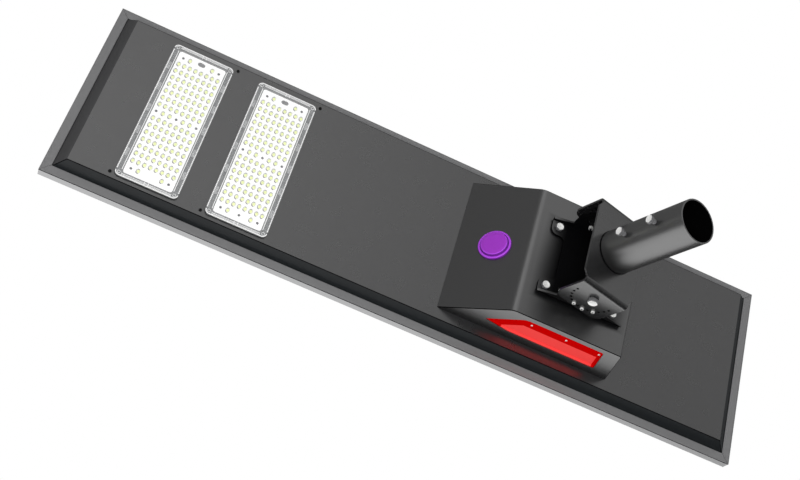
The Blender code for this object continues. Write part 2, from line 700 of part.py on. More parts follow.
def lens_mesh():
    """The clear cover of a module: a flange, a raised plate hollow behind, and a dome on each light."""
    seat = SEAL_THICKNESS + 2 * GAP
    flange_top = seat + LENS_FLANGE
    plate_top = flange_top + LENS_RISE
    hollow = plate_top - LENS_WALL
    cavity = (BOARD_WIDTH + 4 * GAP, BOARD_LENGTH + 4 * GAP, BOARD_CORNER)
    edge = (LENS_WIDTH, LENS_LENGTH, LENS_CORNER)
    foot = (LENS_WIDTH - 2 * LENS_SIDE_BORDER, LENS_LENGTH - 2 * LENS_END_BORDER, BOARD_CORNER)
    plate = (foot[0] - LENS_RISE, foot[1] - LENS_RISE, BOARD_CORNER)
    shape = bmesh.new()
    sections = [
        (cavity, hollow), (cavity, seat), (edge, seat), (edge, flange_top), (foot, flange_top),
        (plate, plate_top),
    ]
    rings = [[Vector((x, y, -z)) for x, y in rounded_rectangle(*size)] for size, z in sections]
    rows = add_loft(shape, rings)
    cap = next(face for face in shape.faces if set(face.verts) == set(rows[-1]))
    shape.faces.remove(cap)
    border = [edge for edge in shape.edges if edge.verts[0] in rows[-1] and edge.verts[1] in rows[-1]]
    for x, y in led_places():
        levels = ((1.0, 0.0), (0.72, 0.72))
        dome = []
        for share, rise in levels:
            ring = circle(DOME_RADIUS * share, DOME_SIDES, (x, y))
            dome.append([shape.verts.new((a, b, -plate_top - rise * DOME_HEIGHT)) for a, b in ring])
        top = shape.verts.new((x, y, -plate_top - DOME_HEIGHT))
        for index in range(DOME_SIDES):
            after = (index + 1) % DOME_SIDES
            shape.faces.new((dome[0][index], dome[0][after], dome[1][after], dome[1][index]))
            shape.faces.new((dome[1][index], dome[1][after], top))
            border.append(shape.edges.get((dome[0][index], dome[0][after])))
    bmesh.ops.triangle_fill(shape, use_beauty=True, edges=border, normal=(0, 0, -1))
    return mesh_from("led_lens", shape)


def make_light_modules(white_board, rubber, clear, head):
    lens = lens_mesh()
    seal_outer = rounded_rectangle(LENS_WIDTH - 4 * GAP, LENS_LENGTH - 4 * GAP, LENS_CORNER - 2 * GAP)
    seal_inner = rounded_rectangle(BOARD_WIDTH + 4 * GAP, BOARD_LENGTH + 4 * GAP, BOARD_CORNER)
    low, high = -GAP, -GAP - SEAL_THICKNESS
    rings = [(seal_outer, low), (seal_outer, high), (seal_inner, high), (seal_inner, low)]
    seal_rings = [[Vector((x, y, z)) for x, y in points] for points, z in rings]
    seal = mesh_from("led_seal", loft(seal_rings, looped=True))
    board_points = rounded_rectangle(BOARD_WIDTH, BOARD_LENGTH, BOARD_CORNER)
    board = mesh_from("led_board", prism(board_points, "Z", -GAP - BOARD_THICKNESS, -GAP))
    for name, x in zip(MODULE_NAMES, module_centres()):
        spot = (x, -MODULE_OFF_MIDDLE, TRAY_Z)
        board_object = place(f"led_board_{name}", board, white_board, head, spot)
        slot = prism(lead_slot(0), "Z", -3 * BOARD_THICKNESS, BOARD_THICKNESS)
        carve(board_object, "lead_slot", slot)
        place(f"led_seal_{name}", seal, rubber, head, spot)
        place(f"led_lens_{name}", lens, clear, head, spot)


def box_corners():
    """(x, depth below the tray, radius) round the side view of the battery box, from its tip."""
    bend = BOX_TIP_FROM_PIVOT - BOX_SLOPE_RUN
    end = bend - BOX_FLOOR_RUN
    return [
        (BOX_TIP_FROM_PIVOT, 0, 0), (bend, BOX_DEPTH, BOX_BEND),
        (end, BOX_DEPTH, BOX_END_BEND), (end - BOX_END_RUN, 0, 0),
    ]


def box_half_width(depth):
    return (BOX_BASE_WIDTH + (BOX_FLOOR_WIDTH - BOX_BASE_WIDTH) * depth / BOX_DEPTH) / 2


def wedge(corners, lift, shrink):
    """A box with drafted sides, from its side view and the width that the battery box has there."""
    rings = []
    for sign in (-1, 1):
        ring = []
        for x, depth in outline(corners, 6):
            half = box_half_width(depth) - shrink
            ring.append(Vector((x, sign * half, TRAY_Z - depth - lift)))
        rings.append(ring)
    return loft(rings)


def make_battery_box(steel, head):
    """A folded shell, open to the tray, with a return flange round its mouth."""
    shell = place("battery_box", mesh_from("battery_box", wedge(box_corners(), GAP, 0)), steel, head)
    tip, bend, end, heel = inset(box_corners(), BOX_SHEET)
    bend, end = (*bend[:2], BOX_BEND - BOX_SHEET), (*end[:2], BOX_END_BEND - BOX_SHEET)
    inside = [tip, bend, end, heel]
    inside = [(x, depth, radius if depth > 2 * BOX_SHEET else 0) for x, depth, radius in inside]
    carve(shell, "inside", wedge(inside, GAP, BOX_SHEET))
    mouth = inset(box_corners(), BOX_RETURN)
    front, back, half = mouth[0][0], mouth[3][0], BOX_BASE_WIDTH / 2 - BOX_RETURN
    opening = [(front, half), (back, half), (back, -half), (front, -half)]
    carve(shell, "mouth", prism(opening, "Z", TRAY_Z - 2 * BOX_SHEET, TRAY_Z + BOX_SHEET))
    corners = inset(window_corners(), -GAP)
    windows = bmesh.new()
    for _, sign in SIDES:
        far, near = sign * BOX_BASE_WIDTH, sign * (BOX_FLOOR_WIDTH / 2 - 2 * BOX_SHEET)
        points = [(x, TRAY_Z - GAP - depth) for x, depth in outline(corners)]
        prism(points, "Y", min(near, far), max(near, far), windows)
    carve(shell, "windows", windows)
    drills = bmesh.new()
    for x, y in base_bolt_places():
        hole = circle(BASE_BOLT[2] / 2 + HOLE_CLEARANCE, 12, (x, y))
        prism(hole, "Z", BOX_FLOOR_Z - BOX_SHEET, BOX_FLOOR_Z + 3 * BOX_SHEET, drills)
    carve(shell, "bolt_holes", drills)
    bore = SENSOR_SPIGOT / 2 + HOLE_CLEARANCE
    drill = turned([(bore, -4 * BOX_SHEET), (bore, 4 * BOX_SHEET)], 24)
    bmesh.ops.transform(drill, matrix=sensor_frame(), verts=drill.verts)
    carve(shell, "sensor_hole", drill)


def window_corners():
    """(x, depth, radius) of a side window: the box's side view drawn in, with its tip lifted."""
    tip, bend, end, heel = (Vector(corner[:2]) for corner in box_corners())
    slope = (bend - tip).normalized()
    inward = Vector((-slope.y, slope.x))
    if inward.dot(heel - tip) < 0:
        inward.negate()
    on_slope = tip + inward * WINDOW_FROM_SLOPE
    back = (heel - end).normalized()

    def slope_at(depth):
        return on_slope.x + slope.x / slope.y * (depth - on_slope.y)

    def end_at(depth):
        return end.x + back.x / back.y * (depth - end.y) + WINDOW_FROM_END

    low, high = WINDOW_FROM_TRAY, BOX_DEPTH - WINDOW_FROM_FLOOR
    tip_depth = low + WINDOW_TIP_RISE
    tip_x = slope_at(tip_depth)
    return [
        (tip_x, tip_depth, BOX_SHEET / 2), (slope_at(high), high, BOX_BEND),
        (end_at(high), high, BOX_END_BEND), (end_at(low), low, BOX_END_BEND),
        (tip_x - WINDOW_TIP_RUN, low, 2 * BOX_BEND),
    ]


def make_windows(red, head):
    """Red pans set into the sides of the box, open outward."""
    rim, lining = window_corners(), inset(window_corners(), WINDOW_SHEET)
    floor_level = BOX_FLOOR_WIDTH / 2 - WINDOW_DEPTH
    for side, sign in SIDES:
        rings = []
        back = floor_level - WINDOW_SHEET
        for corners, level in ((rim, back), (rim, None), (lining, None), (lining, floor_level)):
            ring = []
            for x, depth in outline(corners):
                y = box_half_width(depth) - WINDOW_SET_BACK if level is None else level
                ring.append(Vector((x, sign * y, TRAY_Z - GAP - depth)))
            rings.append(ring)
        name = f"side_window_{side}"
        place(name, mesh_from(name, loft(rings)), red, head)


def sensor_frame():
    """The sensor's own frame: on the slope of the box, +Z out of it."""
    tip, bend = (Vector(corner[:2]) for corner in box_corners()[:2])
    along = (bend - tip).normalized()
    spot = tip + along * SENSOR_ALONG_SLOPE
    turn = math.atan2(along.y, -along.x)
    out = Matrix.Rotation(math.pi - turn, 4, "Y")
    return Matrix.Translation((spot.x, 0, TRAY_Z - GAP - spot.y)) @ out


def make_sensor(purple, black_plastic, board_green, head):
    flange, face = SENSOR_FLANGE / 2, SENSOR_FACE / 2
    spigot = SENSOR_SPIGOT / 2
    top = GAP + SENSOR_FLANGE_HEIGHT
    edge = SENSOR_FLANGE_HEIGHT / 3
    hollow = spigot - SENSOR_SPIGOT_WALL
    low = -SENSOR_SPIGOT_LENGTH
    profile = [
        (hollow, GAP), (hollow, low), (spigot, low), (spigot, GAP), (flange, GAP),
        (flange, top - edge), (flange - edge, top), (face, top), (face, top + SENSOR_FACE_RISE),
        (face - edge, top + SENSOR_FACE_RISE + edge), (face / 2, top + SENSOR_FACE_RISE + 1.4 * edge),
    ]
    pieces = [("sensor_lens", turned(profile, 24), purple)]
    nut_top = -BOX_SHEET - GAP
    thread = spigot + GAP
    nut = tube(SENSOR_NUT_OUTER / 2, thread, nut_top - SENSOR_NUT_HEIGHT, nut_top, 24)
    pieces.append(("sensor_nut", nut, black_plastic))
    board = turned([(spigot, low - GAP - SENSOR_BOARD), (spigot, low - GAP)], 24)
    pieces.append(("sensor_board", board, board_green))
    for name, shape, material in pieces:
        bmesh.ops.transform(shape, matrix=sensor_frame(), verts=shape.verts)
        place(name, mesh_from(name, shape, smooth=True), material, head)


def make_backing_plate(zinc, head):
    low = BOX_FLOOR_Z + BOX_SHEET + GAP
    bolt_x, bolt_y = base_bolt_places()[0]
    length, width = 2 * (bolt_x + BACKING_MARGIN), 2 * (bolt_y + BACKING_MARGIN)
    shape = prism(rounded_rectangle(length, width, BACKING_MARGIN / 2), "Z", low, low + BACKING_SHEET)
    plate = place("backing_plate", mesh_from("backing_plate", shape), zinc, head)
    drills = bmesh.new()
    for x, y in base_bolt_places():
        hole = circle(BASE_BOLT[2] / 2 + HOLE_CLEARANCE, 12, (x, y))
        prism(hole, "Z", low - BACKING_SHEET, low + 2 * BACKING_SHEET, drills)
    carve(plate, "bolt_holes", drills)


def make_battery(wrap, zinc, head):
    """A wrapped row of round cells held up to the tray by a folded strap."""
    radius = BATTERY_CELL / 2
    span = (BATTERY_CELL_COUNT - 1) * BATTERY_CELL_PITCH
    middle = TRAY_Z - GAP - radius
    low, high = [], []
    for cell in range(BATTERY_CELL_COUNT):
        x = BATTERY_FROM_PIVOT + cell * BATTERY_CELL_PITCH - span / 2
        last = cell == BATTERY_CELL_COUNT - 1
        stop = 0 if last else math.pi / 4
        start = math.pi if cell == 0 else math.pi * 3 / 4
        high += arc((x, middle), radius, start, stop, 6)
        low += arc((x, middle), radius, -start, -stop, 6)
    points = high + low[::-1][1:-1]
    half = BATTERY_LENGTH / 2
    pack = mesh_from("battery_pack", prism(points, "Y", -half, half), smooth=True)
    place("battery_pack", pack, wrap, head)
    reach = span / 2 + radius + GAP
    under = middle - radius - GAP
    seat = TRAY_Z - GAP
    sheet = STRAP_SHEET
    leg, foot = reach + sheet, reach + STRAP_FOOT
    half_strap = [
        (foot, seat), (foot, seat - sheet), (leg, seat - sheet), (leg, under - sheet),
    ]
    inner = [(reach, under), (reach, seat)]
    points = half_strap + [(-x, z) for x, z in reversed(half_strap)]
    points += [(-x, z) for x, z in reversed(inner)] + inner
    points = [(BATTERY_FROM_PIVOT + x, z) for x, z in points]
    shape = prism(points, "Y", -STRAP_WIDTH / 2, STRAP_WIDTH / 2)
    place("battery_strap", mesh_from("battery_strap", shape), zinc, head)


def make_controller(aluminium, head):
    """The charge controller and lamp driver, a finned block on the tray."""
    length, width, height = CONTROLLER
    top = TRAY_Z - GAP
    low = top - height
    pitch = (width - CONTROLLER_FIN) / (CONTROLLER_FINS - 1)
    points = [(-width / 2, top)]
    for fin in range(CONTROLLER_FINS):
        y = -width / 2 + fin * pitch
        points += [(y, low), (y + CONTROLLER_FIN, low)]
        if fin < CONTROLLER_FINS - 1:
            root = low + CONTROLLER_FIN_HEIGHT
            points += [(y + CONTROLLER_FIN, root), (y + pitch, root)]
    points.append((width / 2, top))
    start = CONTROLLER_FROM_PIVOT - length / 2
    shape = prism(points, "X", start, start + length)
    place("charge_controller", mesh_from("charge_controller", shape), aluminium, head)


def main():
    clear_scene()
    black_steel = paint("black_powder_coat", 84, 84, 85, 0.5, 0.2)
    tray_steel = paint("grey_powder_coat", 90, 90, 91, 0.55, 0.2)
    zinc = paint("bright_zinc", 222, 222, 222, 0.25, 1.0)
    aluminium = paint("anodised_aluminium", 196, 196, 196, 0.4, 0.8)
    glass = paint("panel_glass", 40, 48, 70, 0.08)
    cells = paint("solar_cells", 22, 30, 58, 0.3)
    board = paint("white_board", 254, 254, 241, 0.5)
    rubber = paint("grey_rubber", 120, 120, 122, 0.8)
    clear = paint("clear_lens", 235, 238, 235, 0.1)
    red = paint("red_lacquer", 226, 10, 12, 0.4)
    purple = paint("purple_lens", 151, 64, 180, 0.3)
    black_plastic = paint("black_plastic", 30, 30, 32, 0.6)
    green = paint("green_board", 30, 96, 60, 0.5)
    wrap = paint("battery_wrap", 40, 92, 160, 0.4)
    mount = empty("sleeve_mouth", (0, 0, 0), 0)
    head = empty("head_tilt_axis", (0, 0, PIVOT_HEIGHT), -REST_TILT, mount)
    make_sleeve(black_steel, zinc, mount)
    make_saddle(black_steel, mount)
    make_tilt_bolts(zinc, mount)
    make_base_bracket(black_steel, zinc, head)
    make_frame(aluminium, head)
    make_panel(glass, cells, black_plastic, head)
    make_tray(tray_steel, head)
    make_light_modules(board, rubber, clear, head)
    make_battery_box(black_steel, head)
    make_windows(red, head)
    make_sensor(purple, black_plastic, green, head)
    make_backing_plate(zinc, head)
    make_battery(wrap, zinc, head)
    make_controller(aluminium, head)


main()
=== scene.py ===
"""Finish of a solar street lamp: coats, fastenings, light modules, solar cells and a studio to see it in.

Lengths are in metres. Pieces of the head are modelled in the head's own frame: the tilt pivot is its origin,
+X runs to the lamp end and +Z to the glass. Pieces of the pole bracket use the frame of the sleeve.
"""

import functools
import json
import math

import bmesh
import bpy
from bpy.props import FloatProperty, FloatVectorProperty, PointerProperty
from mathutils import Matrix, Vector


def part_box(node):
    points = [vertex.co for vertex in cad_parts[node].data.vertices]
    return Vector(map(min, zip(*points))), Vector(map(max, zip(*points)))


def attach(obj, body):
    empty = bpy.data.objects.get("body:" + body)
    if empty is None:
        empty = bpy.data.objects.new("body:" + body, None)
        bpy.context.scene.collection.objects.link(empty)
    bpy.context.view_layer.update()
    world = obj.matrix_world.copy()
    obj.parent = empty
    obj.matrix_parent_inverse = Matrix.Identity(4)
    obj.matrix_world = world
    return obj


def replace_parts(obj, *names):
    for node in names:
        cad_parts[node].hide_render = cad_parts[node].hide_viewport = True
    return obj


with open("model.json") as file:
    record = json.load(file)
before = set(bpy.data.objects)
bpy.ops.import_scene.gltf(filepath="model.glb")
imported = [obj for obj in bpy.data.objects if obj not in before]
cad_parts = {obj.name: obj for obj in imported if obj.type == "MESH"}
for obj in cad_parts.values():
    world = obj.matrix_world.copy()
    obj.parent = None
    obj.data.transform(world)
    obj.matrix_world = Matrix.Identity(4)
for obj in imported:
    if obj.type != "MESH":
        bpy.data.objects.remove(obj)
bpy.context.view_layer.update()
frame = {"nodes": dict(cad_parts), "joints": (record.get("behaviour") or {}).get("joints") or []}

bl_info = {
    "name": "Solar Street Lamp Finish",
    "version": (1, 0, 0),
    "blender": (4, 5, 0),
    "location": "3D View > Sidebar > Street Lamp",
    "description": "Builds the visible finish of a solar street lamp on its packed frame",
    "category": "Object",
}

# Name of the mark on rounded edges, which the edge wear reads
EDGE_MARK = "rounded_edge"

# Angles between faces: up to the first they are one plane, past the second they meet at an edge that is
# rounded, and past the third the shading breaks
FLAT_ANGLE, EDGE_ANGLE, CREASE_ANGLE = (math.radians(angle) for angle in (0.4, 28, 32))
# A sheet that meets another at a fold is wider than this
LEAST_SHEET = 0.01

# Where the head sits on its bracket
REST_TILT = math.radians(18)
PIVOT_HEIGHT = frame["joints"][0]["pos_m"][2]
HEAD = Matrix.Translation((0, 0, PIVOT_HEIGHT)) @ Matrix.Rotation(-REST_TILT, 4, "Y")
SLEEVE = Matrix.Identity(4)
DOWN_FROM_HEAD = HEAD.to_3x3() @ Vector((0, 0, -1))
SET_SCREW_OUTWARD = -Vector(frame["joints"][1]["axis"])
SIDES = (("left", 1), ("right", -1))

# Planes of the head
BOX_FLOOR_Z = 0.0595
TRAY_Z = 0.1373
RIM_Z = 0.1578
PANEL_CENTRE_X = 0.2565
PANEL_LENGTH = 1.248
PANEL_WIDTH = 0.350

# Battery box: its tip at the tray, its pole end at its floor, how far that end leans, and its front slope
BOX_TIP_X = 0.2105
BOX_END_X = -0.0928
BOX_END_LEAN = 0.159
BOX_SLOPE = Vector((-0.105, 0, -0.0775))

# Light modules, whose own frame has +Z out of the tray
MODULES = (("outer", 0.7205), ("inner", 0.5675))
MODULE_Y = -0.0028
LENS_SIZE = (0.106, 0.279)
LENS_CORNER = 0.008
LENS_SEAT = 0.0018
FLANGE_TOP = 0.0038
PLATE_TOP = 0.0046
PLATE_HOLLOW = 0.0030
PLATE_BORDERS = (0.008, 0.006)
CAVITY_SIZE = (0.0842, 0.2612)
CAVITY_CORNER = 0.004
BOARD_TOP = 0.0019
LIGHT_PITCH = (0.010, 0.0148)
LIGHT_COLUMNS, LIGHT_ROWS = 8, 15
LIGHT_SPAN = (LIGHT_COLUMNS - 1) * LIGHT_PITCH[0]
PAST_ROWS = (LIGHT_ROWS + 1) / 2 * LIGHT_PITCH[1]


def linear(red, green, blue):
    """Display steps of 0 to 255 as the linear colour that a shader takes."""
    shares = [step / 255 for step in (red, green, blue)]
    return tuple(s / 12.92 if s <= 0.04045 else ((s + 0.055) / 1.055) ** 2.4 for s in shares)


def colour(name, description, *steps):
    return FloatVectorProperty(
        name=name, description=description, default=linear(*steps), subtype="COLOR", min=0, max=1)


def length(name, description, default):
    return FloatProperty(name=name, description=description, default=default, min=0, unit="LENGTH")


def share(name, description, default):
    return FloatProperty(name=name, description=description, default=default, min=0, max=1, subtype="FACTOR")


class LampFinishes(bpy.types.PropertyGroup):
    """Colours of the lamp's coats, plastics and metals."""

    black_coat: colour("Black coat", "Powder coat of the sleeve, brackets and battery box", 24, 24, 25)
    tray_coat: colour("Tray coat", "Powder coat of the back tray", 35, 35, 36)
    aluminium: colour("Aluminium", "Anodised frame rails", 190, 190, 191)
    # Rim: a painted shade of the aluminium on the frame's faces turned down
    rim: colour("Rim", "Lower faces of the frame rails and their strip", 128, 128, 129)
    zinc: colour("Zinc", "Plated bolts, nuts and screws", 250, 250, 248)
    # Seal: black of the frame's strip, and painted shade on folds, cut edges, the weld, screw crosses and
    # round the base bracket
    seal: colour("Seal", "Black of the frame's strip, the folds and the weld", 6, 6, 7)
    # The windows' red is split by painted light: a darker painted shadow band, and a lit red elsewhere
    red: colour("Red lacquer", "Dark band of the side windows", 196, 2, 2)
    lit_red: colour("Lit lacquer", "Bright area of the side windows", 246, 74, 72)
    purple: colour("Purple lens", "Sensor lens in the slope of the box", 150, 52, 184)
    board: colour("Board", "White face of the light boards", 248, 247, 248)
    light: colour("Light", "Phosphor seen through each dome", 238, 245, 152)
    cell: colour("Cell", "Solar cells under the glass", 18, 24, 44)


class LampSizes(bpy.types.PropertyGroup):
    """Sizes of the small pieces that the finish adds."""

    sheet_edge: length("Sheet edge", "Rounding on the cut edges of folded sheet", 0.0005)
    hole_edge: length("Hole edge", "Rounding on the saddle and its holes", 0.0003)
    tray_edge: length("Tray edge", "Rounding on the folds of the back tray", 0.0009)
    box_edge: length("Box edge", "Rounding on the folds of the battery box", 0.0011)
    rail_edge: length("Rail edge", "Rounding on the frame rails", 0.00025)
    weld: length("Weld", "Bead between the sleeve and the saddle", 0.0011)
    light_radius: length("Light radius", "Foot of each dome over a light", 0.0038)
    light_height: length("Light height", "Rise of each dome above the plate", 0.0016)
    rib_pitch: length("Rib pitch", "Spacing of the beads along the lens rim", 0.0032)
    board_screw: length("Board screw", "Diameter of the screws on the light boards", 0.0046)
    tray_screw: length("Tray screw", "Diameter of the black screws in the tray", 0.0056)
    window_screw: length("Window screw", "Diameter of the screws in the side windows", 0.0037)
    thread_pitch: length("Thread pitch", "Spacing of the threads on the bolts", 0.0014)


class LampStudio(bpy.types.PropertyGroup):
    """Floor, light and camera round the lamp."""

    floor_drop: length("Floor drop", "Height of the lamp above the floor", 5.0)
    flag_radius: length("Flag radius", "Distance of the dark ring round the lamp", 7.0)
    flag_top: length("Flag top", "Upper edge of the dark ring", 1.9)
    sky: FloatProperty(name="Sky", description="Strength of the sky as a light", default=1.3, min=0)
    floor: colour("Floor", "Plain pale floor", 236, 236, 236)
    floor_mirrored: share("Mirrored floor", "Brightness of the floor in the gloss of the lamp", 0.45)
    floor_rise: share("Floor rise", "Gain of that brightness per metre towards the lamp end", 0.12)
    floor_near: share("Near floor", "Share of that brightness left on the floor's near side", 0.3)
    flag_mirrored: share("Mirrored flag", "Brightness of the dark ring in the gloss of the lamp", 0.18)
    flag_near: share("Near flag", "Brightness of the dark ring's near side in the gloss", 0.04)
    lens: FloatProperty(
        name="Lens", description="Focal length in millimetres", default=57.09, min=1, unit="CAMERA")


def piece(name, shape, finishes, body, place):
    """A mesh object of that shape, riding on a body and set where it belongs."""
    if name in bpy.data.objects:
        raise RuntimeError(f"{name} is made twice")
    mesh = bpy.data.meshes.new(name)
    bmesh.ops.recalc_face_normals(shape, faces=shape.faces)
    shape.to_mesh(mesh)
    shape.free()
    mesh.shade_smooth()
    mesh.set_sharp_from_angle(angle=CREASE_ANGLE)
    for coat in finishes:
        mesh.materials.append(finish(coat))
    made = bpy.data.objects.new(name, mesh)
    bpy.context.scene.collection.objects.link(made)
    made.matrix_world = place
    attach(made, body)
    return made


def node_shape(node, place):
    """A copy of a CAD node's mesh in the frame of place, joined up and with its flat faces whole."""
    shape = bmesh.new()
    shape.from_mesh(frame["nodes"][node].data)
    shape.transform(place.inverted())
    bmesh.ops.remove_doubles(shape, verts=shape.verts, dist=1e-6)
    bmesh.ops.dissolve_limit(shape, angle_limit=FLAT_ANGLE, verts=shape.verts, edges=shape.edges)
    return shape


def sharp_edges(shape):
    return [edge for edge in shape.edges if edge.is_manifold and edge.calc_face_angle() > EDGE_ANGLE]


def fold_edges(shape):
    """The outer edges of a folded box where its sides meet its other sheets."""
    folds = []
    for edge in sharp_edges(shape):
        side, other = sorted(edge.link_faces, key=lambda face: -abs(face.normal.y))
        whole = other.calc_area() > edge.calc_length() * LEAST_SHEET
        if edge.is_convex and whole and abs(side.normal.y) > 0.9 and abs(other.normal.y) < 0.5:
            folds.append(edge)
    return folds


def round_edges(shape, width, pick):
    """Rounds the picked edges and marks the rounded faces for wear."""
    mark = shape.faces.layers.float.new(EDGE_MARK)
    rounded = bmesh.ops.bevel(
        shape, geom=pick(shape), offset=width, segments=2, profile=0.5, affect="EDGES",
        clamp_overlap=pick is sharp_edges)
    for face in rounded["faces"]:
        face[mark] = 1.0


def rounded_node(node, name, width, coat, place=HEAD, body="lamp_head", pick=sharp_edges):
    """The CAD node with its edges rounded, in its place."""
    shape = node_shape(node, place)
    round_edges(shape, width, pick)
    made = piece(name, shape, [coat], body, place)
    flat = made.modifiers.new("flat_faces", "WEIGHTED_NORMAL")
    flat.mode, flat.weight, flat.keep_sharp = "FACE_AREA", 100, True
    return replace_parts(made, node)


def paint_faces(made, coat, chosen):
    """Gives the chosen faces a finish of their own."""
    made.data.materials.append(finish(coat))
    for face in made.data.polygons:
        if chosen(face):
            face.material_index = len(made.data.materials) - 1


def rounded_faces(made):
    """Tells which faces were made by rounding an edge."""
    marks = made.data.attributes[EDGE_MARK].data
    return lambda face: marks[face.index].value > 0.5


def paint_nodes(coat, *nodes):
    """Gives a finish to CAD nodes that nothing replaces."""
    for node in nodes:
        for slot in frame["nodes"][node].material_slots:
            slot.material = finish(coat)


def circle(radius, sides, centre=(0, 0)):
    angles = [math.tau * step / sides for step in range(sides)]
    return [(centre[0] + radius * math.cos(a), centre[1] + radius * math.sin(a)) for a in angles]


def corners_of(half_x, half_y):
    return (half_x, half_y), (-half_x, half_y), (-half_x, -half_y), (half_x, -half_y)


def rounded_rectangle(size, radius, steps=6):
    points = []
    for quarter, (x, y) in enumerate(corners_of(size[0] / 2 - radius, size[1] / 2 - radius)):
        for step in range(steps + 1):
            angle = (quarter + step / steps) * math.pi / 2
            points.append((x + radius * math.cos(angle), y + radius * math.sin(angle)))
    return points


def level(points, height):
    return [Vector((x, y, height)) for x, y in points]


def skin(shape, rings, material=0, looped=False):
    """Faces from ring to ring. The first and last are capped, or joined to each other where looped."""
    rows = [[shape.verts.new(point) for point in ring] for ring in rings]
    pairs = list(zip(rows, rows[1:]))
    if looped:
        pairs.append((rows[-1], rows[0]))
    made = []
    for low, high in pairs:
        for index in range(len(low)):
            after = (index + 1) % len(low)
            made.append(shape.faces.new((low[index], low[after], high[after], high[index])))
    if not looped:
        made += [shape.faces.new(rows[0]), shape.faces.new(rows[-1])]
    for face in made:
        face.material_index = material
    return made


def turned(shape, profile, sides, centre=(0, 0), material=0, looped=False):
    """A body turned about Z from (radius, height) steps."""
    return skin(shape, [level(circle(r, sides, centre), z) for r, z in profile], material, looped)


def block(shape, centre, half, heights, material):
    """A bar from its middle, its half sizes along x and y, and its two heights."""
    (x, y), (a, b) = centre, half
    corners = [(x - a, y - b), (x + a, y - b), (x + a, y + b), (x - a, y + b)]
    return skin(shape, [level(corners, height) for height in heights], material)


def along(outward, corner, origin):
    """A frame at origin with +Z outward and +X towards corner."""
    z = outward.normalized()
    x = (corner - z * corner.dot(z)).normalized()
    turn = Matrix((x, z.cross(x), z)).transposed().to_4x4()
    return Matrix.Translation(origin) @ turn


def under_tray(x, y):
    """A frame on the tray's lower face with +Z out of it."""
    return HEAD @ Matrix.Translation((x, y, TRAY_Z)) @ Matrix.Rotation(math.pi, 4, "X")


def add(tree, kind, inputs=None, **settings):
    """A shader node with its settings made and its sockets filled or joined."""
    made = tree.nodes.new("ShaderNode" + kind)
    for name, value in settings.items():
        setattr(made, name, value)
    for name, value in (inputs or {}).items():
        if isinstance(value, bpy.types.NodeSocket):
            tree.links.new(value, made.inputs[name])
        else:
            made.inputs[name].default_value = value
    return made


def mix(tree, factor, first, second):
    """Two colours mixed by a factor."""
    return add(tree, "Mix", {0: factor, 6: first, 7: second}, data_type="RGBA").outputs[2]


def math_node(tree, operation, *values, clamp=False):
    return add(tree, "Math", dict(enumerate(values)), operation=operation, use_clamp=clamp).outputs[0]


def vector_node(tree, operation, first, second):
    return add(tree, "VectorMath", {0: first, 1: second}, operation=operation).outputs


def ramp(tree, value, low, high, start=0.0, stop=1.0):
    """The value spread from low..high to start..stop, held at both ends."""
    inputs = {"Value": value, "From Min": low, "From Max": high, "To Min": start, "To Max": stop}
    return add(tree, "MapRange", inputs).outputs[0]


def object_place(tree):
    return add(tree, "TexCoord").outputs["Object"]


def apart(tree, vector):
    return add(tree, "SeparateXYZ", {0: vector}).outputs


def noise(tree, vector, scale, detail=2.0, roughness=0.5):
    inputs = {"Vector": vector, "Scale": scale, "Detail": detail, "Roughness": roughness}
    return add(tree, "TexNoise", inputs).outputs["Fac"]


def about_zero(tree, value):
    return math_node(tree, "SUBTRACT", value, 0.5)


# Kinds of the groups' sockets that aren't plain values
SOCKET_KINDS = {
    "Colour": "NodeSocketColor", "Edge Colour": "NodeSocketColor", "Dust Colour": "NodeSocketColor",
    "Stretch": "NodeSocketVector",
}


def node_group(name, inputs, outputs):
    """An empty shader group with named sockets, and its tree's two ends."""
    group = bpy.data.node_groups.new(name, "ShaderNodeTree")
    for side, labels in (("INPUT", inputs), ("OUTPUT", outputs)):
        for label in labels:
            kind = SOCKET_KINDS.get(label, "NodeSocketFloat")
            group.interface.new_socket(label, in_out=side, socket_type=kind)
    return group, group.nodes.new("NodeGroupInput").outputs, group.nodes.new("NodeGroupOutput").inputs


def vary(group, given, out, lift, patch):
    """Puts out the colour and the roughness that a group is given, each varied over the surface."""
    tone = math_node(group, "MULTIPLY_ADD", lift, given["Tone"], 1.0)
    rough = math_node(group, "MULTIPLY_ADD", patch, given["Spread"], given["Roughness"], clamp=True)
    group.links.new(vector_node(group, "MULTIPLY", given["Colour"], tone)[0], out["Colour"])
    group.links.new(rough, out["Roughness"])


def cover(group, given, out, where, broken, over):
    """Puts out the colour that a group is given with another over it, and the mask between them."""
    spread = math_node(group, "MULTIPLY", where, broken)
    mask = math_node(group, "MULTIPLY", spread, given["Amount"], clamp=True)
    group.links.new(mix(group, mask, given["Colour"], given[over]), out["Colour"])
    group.links.new(mask, out["Mask"])


@functools.cache
def coat_grain():
    """Orange peel and slow mottling of a sprayed coat."""
    inputs, outputs = ("Colour", "Tone", "Peel", "Roughness", "Spread"), ("Colour", "Roughness", "Height")
    group, given, out = node_group("coat_grain", inputs, outputs)
    place = object_place(group)
    slow = about_zero(group, noise(group, place, scale=7.0, detail=4.0))
    patch = about_zero(group, noise(group, place, scale=38.0, detail=3.0))
    vary(group, given, out, slow, patch)
    group.links.new(noise(group, place, given["Peel"]), out["Height"])
    return group


@functools.cache
def edge_wear():
    """Coat thinned and polished along rounded edges, broken up by noise."""
    group, given, out = node_group("edge_wear", ("Colour", "Edge Colour", "Amount"), ("Colour", "Mask"))
    ridge = add(group, "Attribute", attribute_name=EDGE_MARK).outputs["Fac"]
    broken = ramp(group, noise(group, object_place(group), scale=160.0, detail=4.0), 0.38, 0.62)
    cover(group, given, out, ridge, broken, "Edge Colour")
    return group


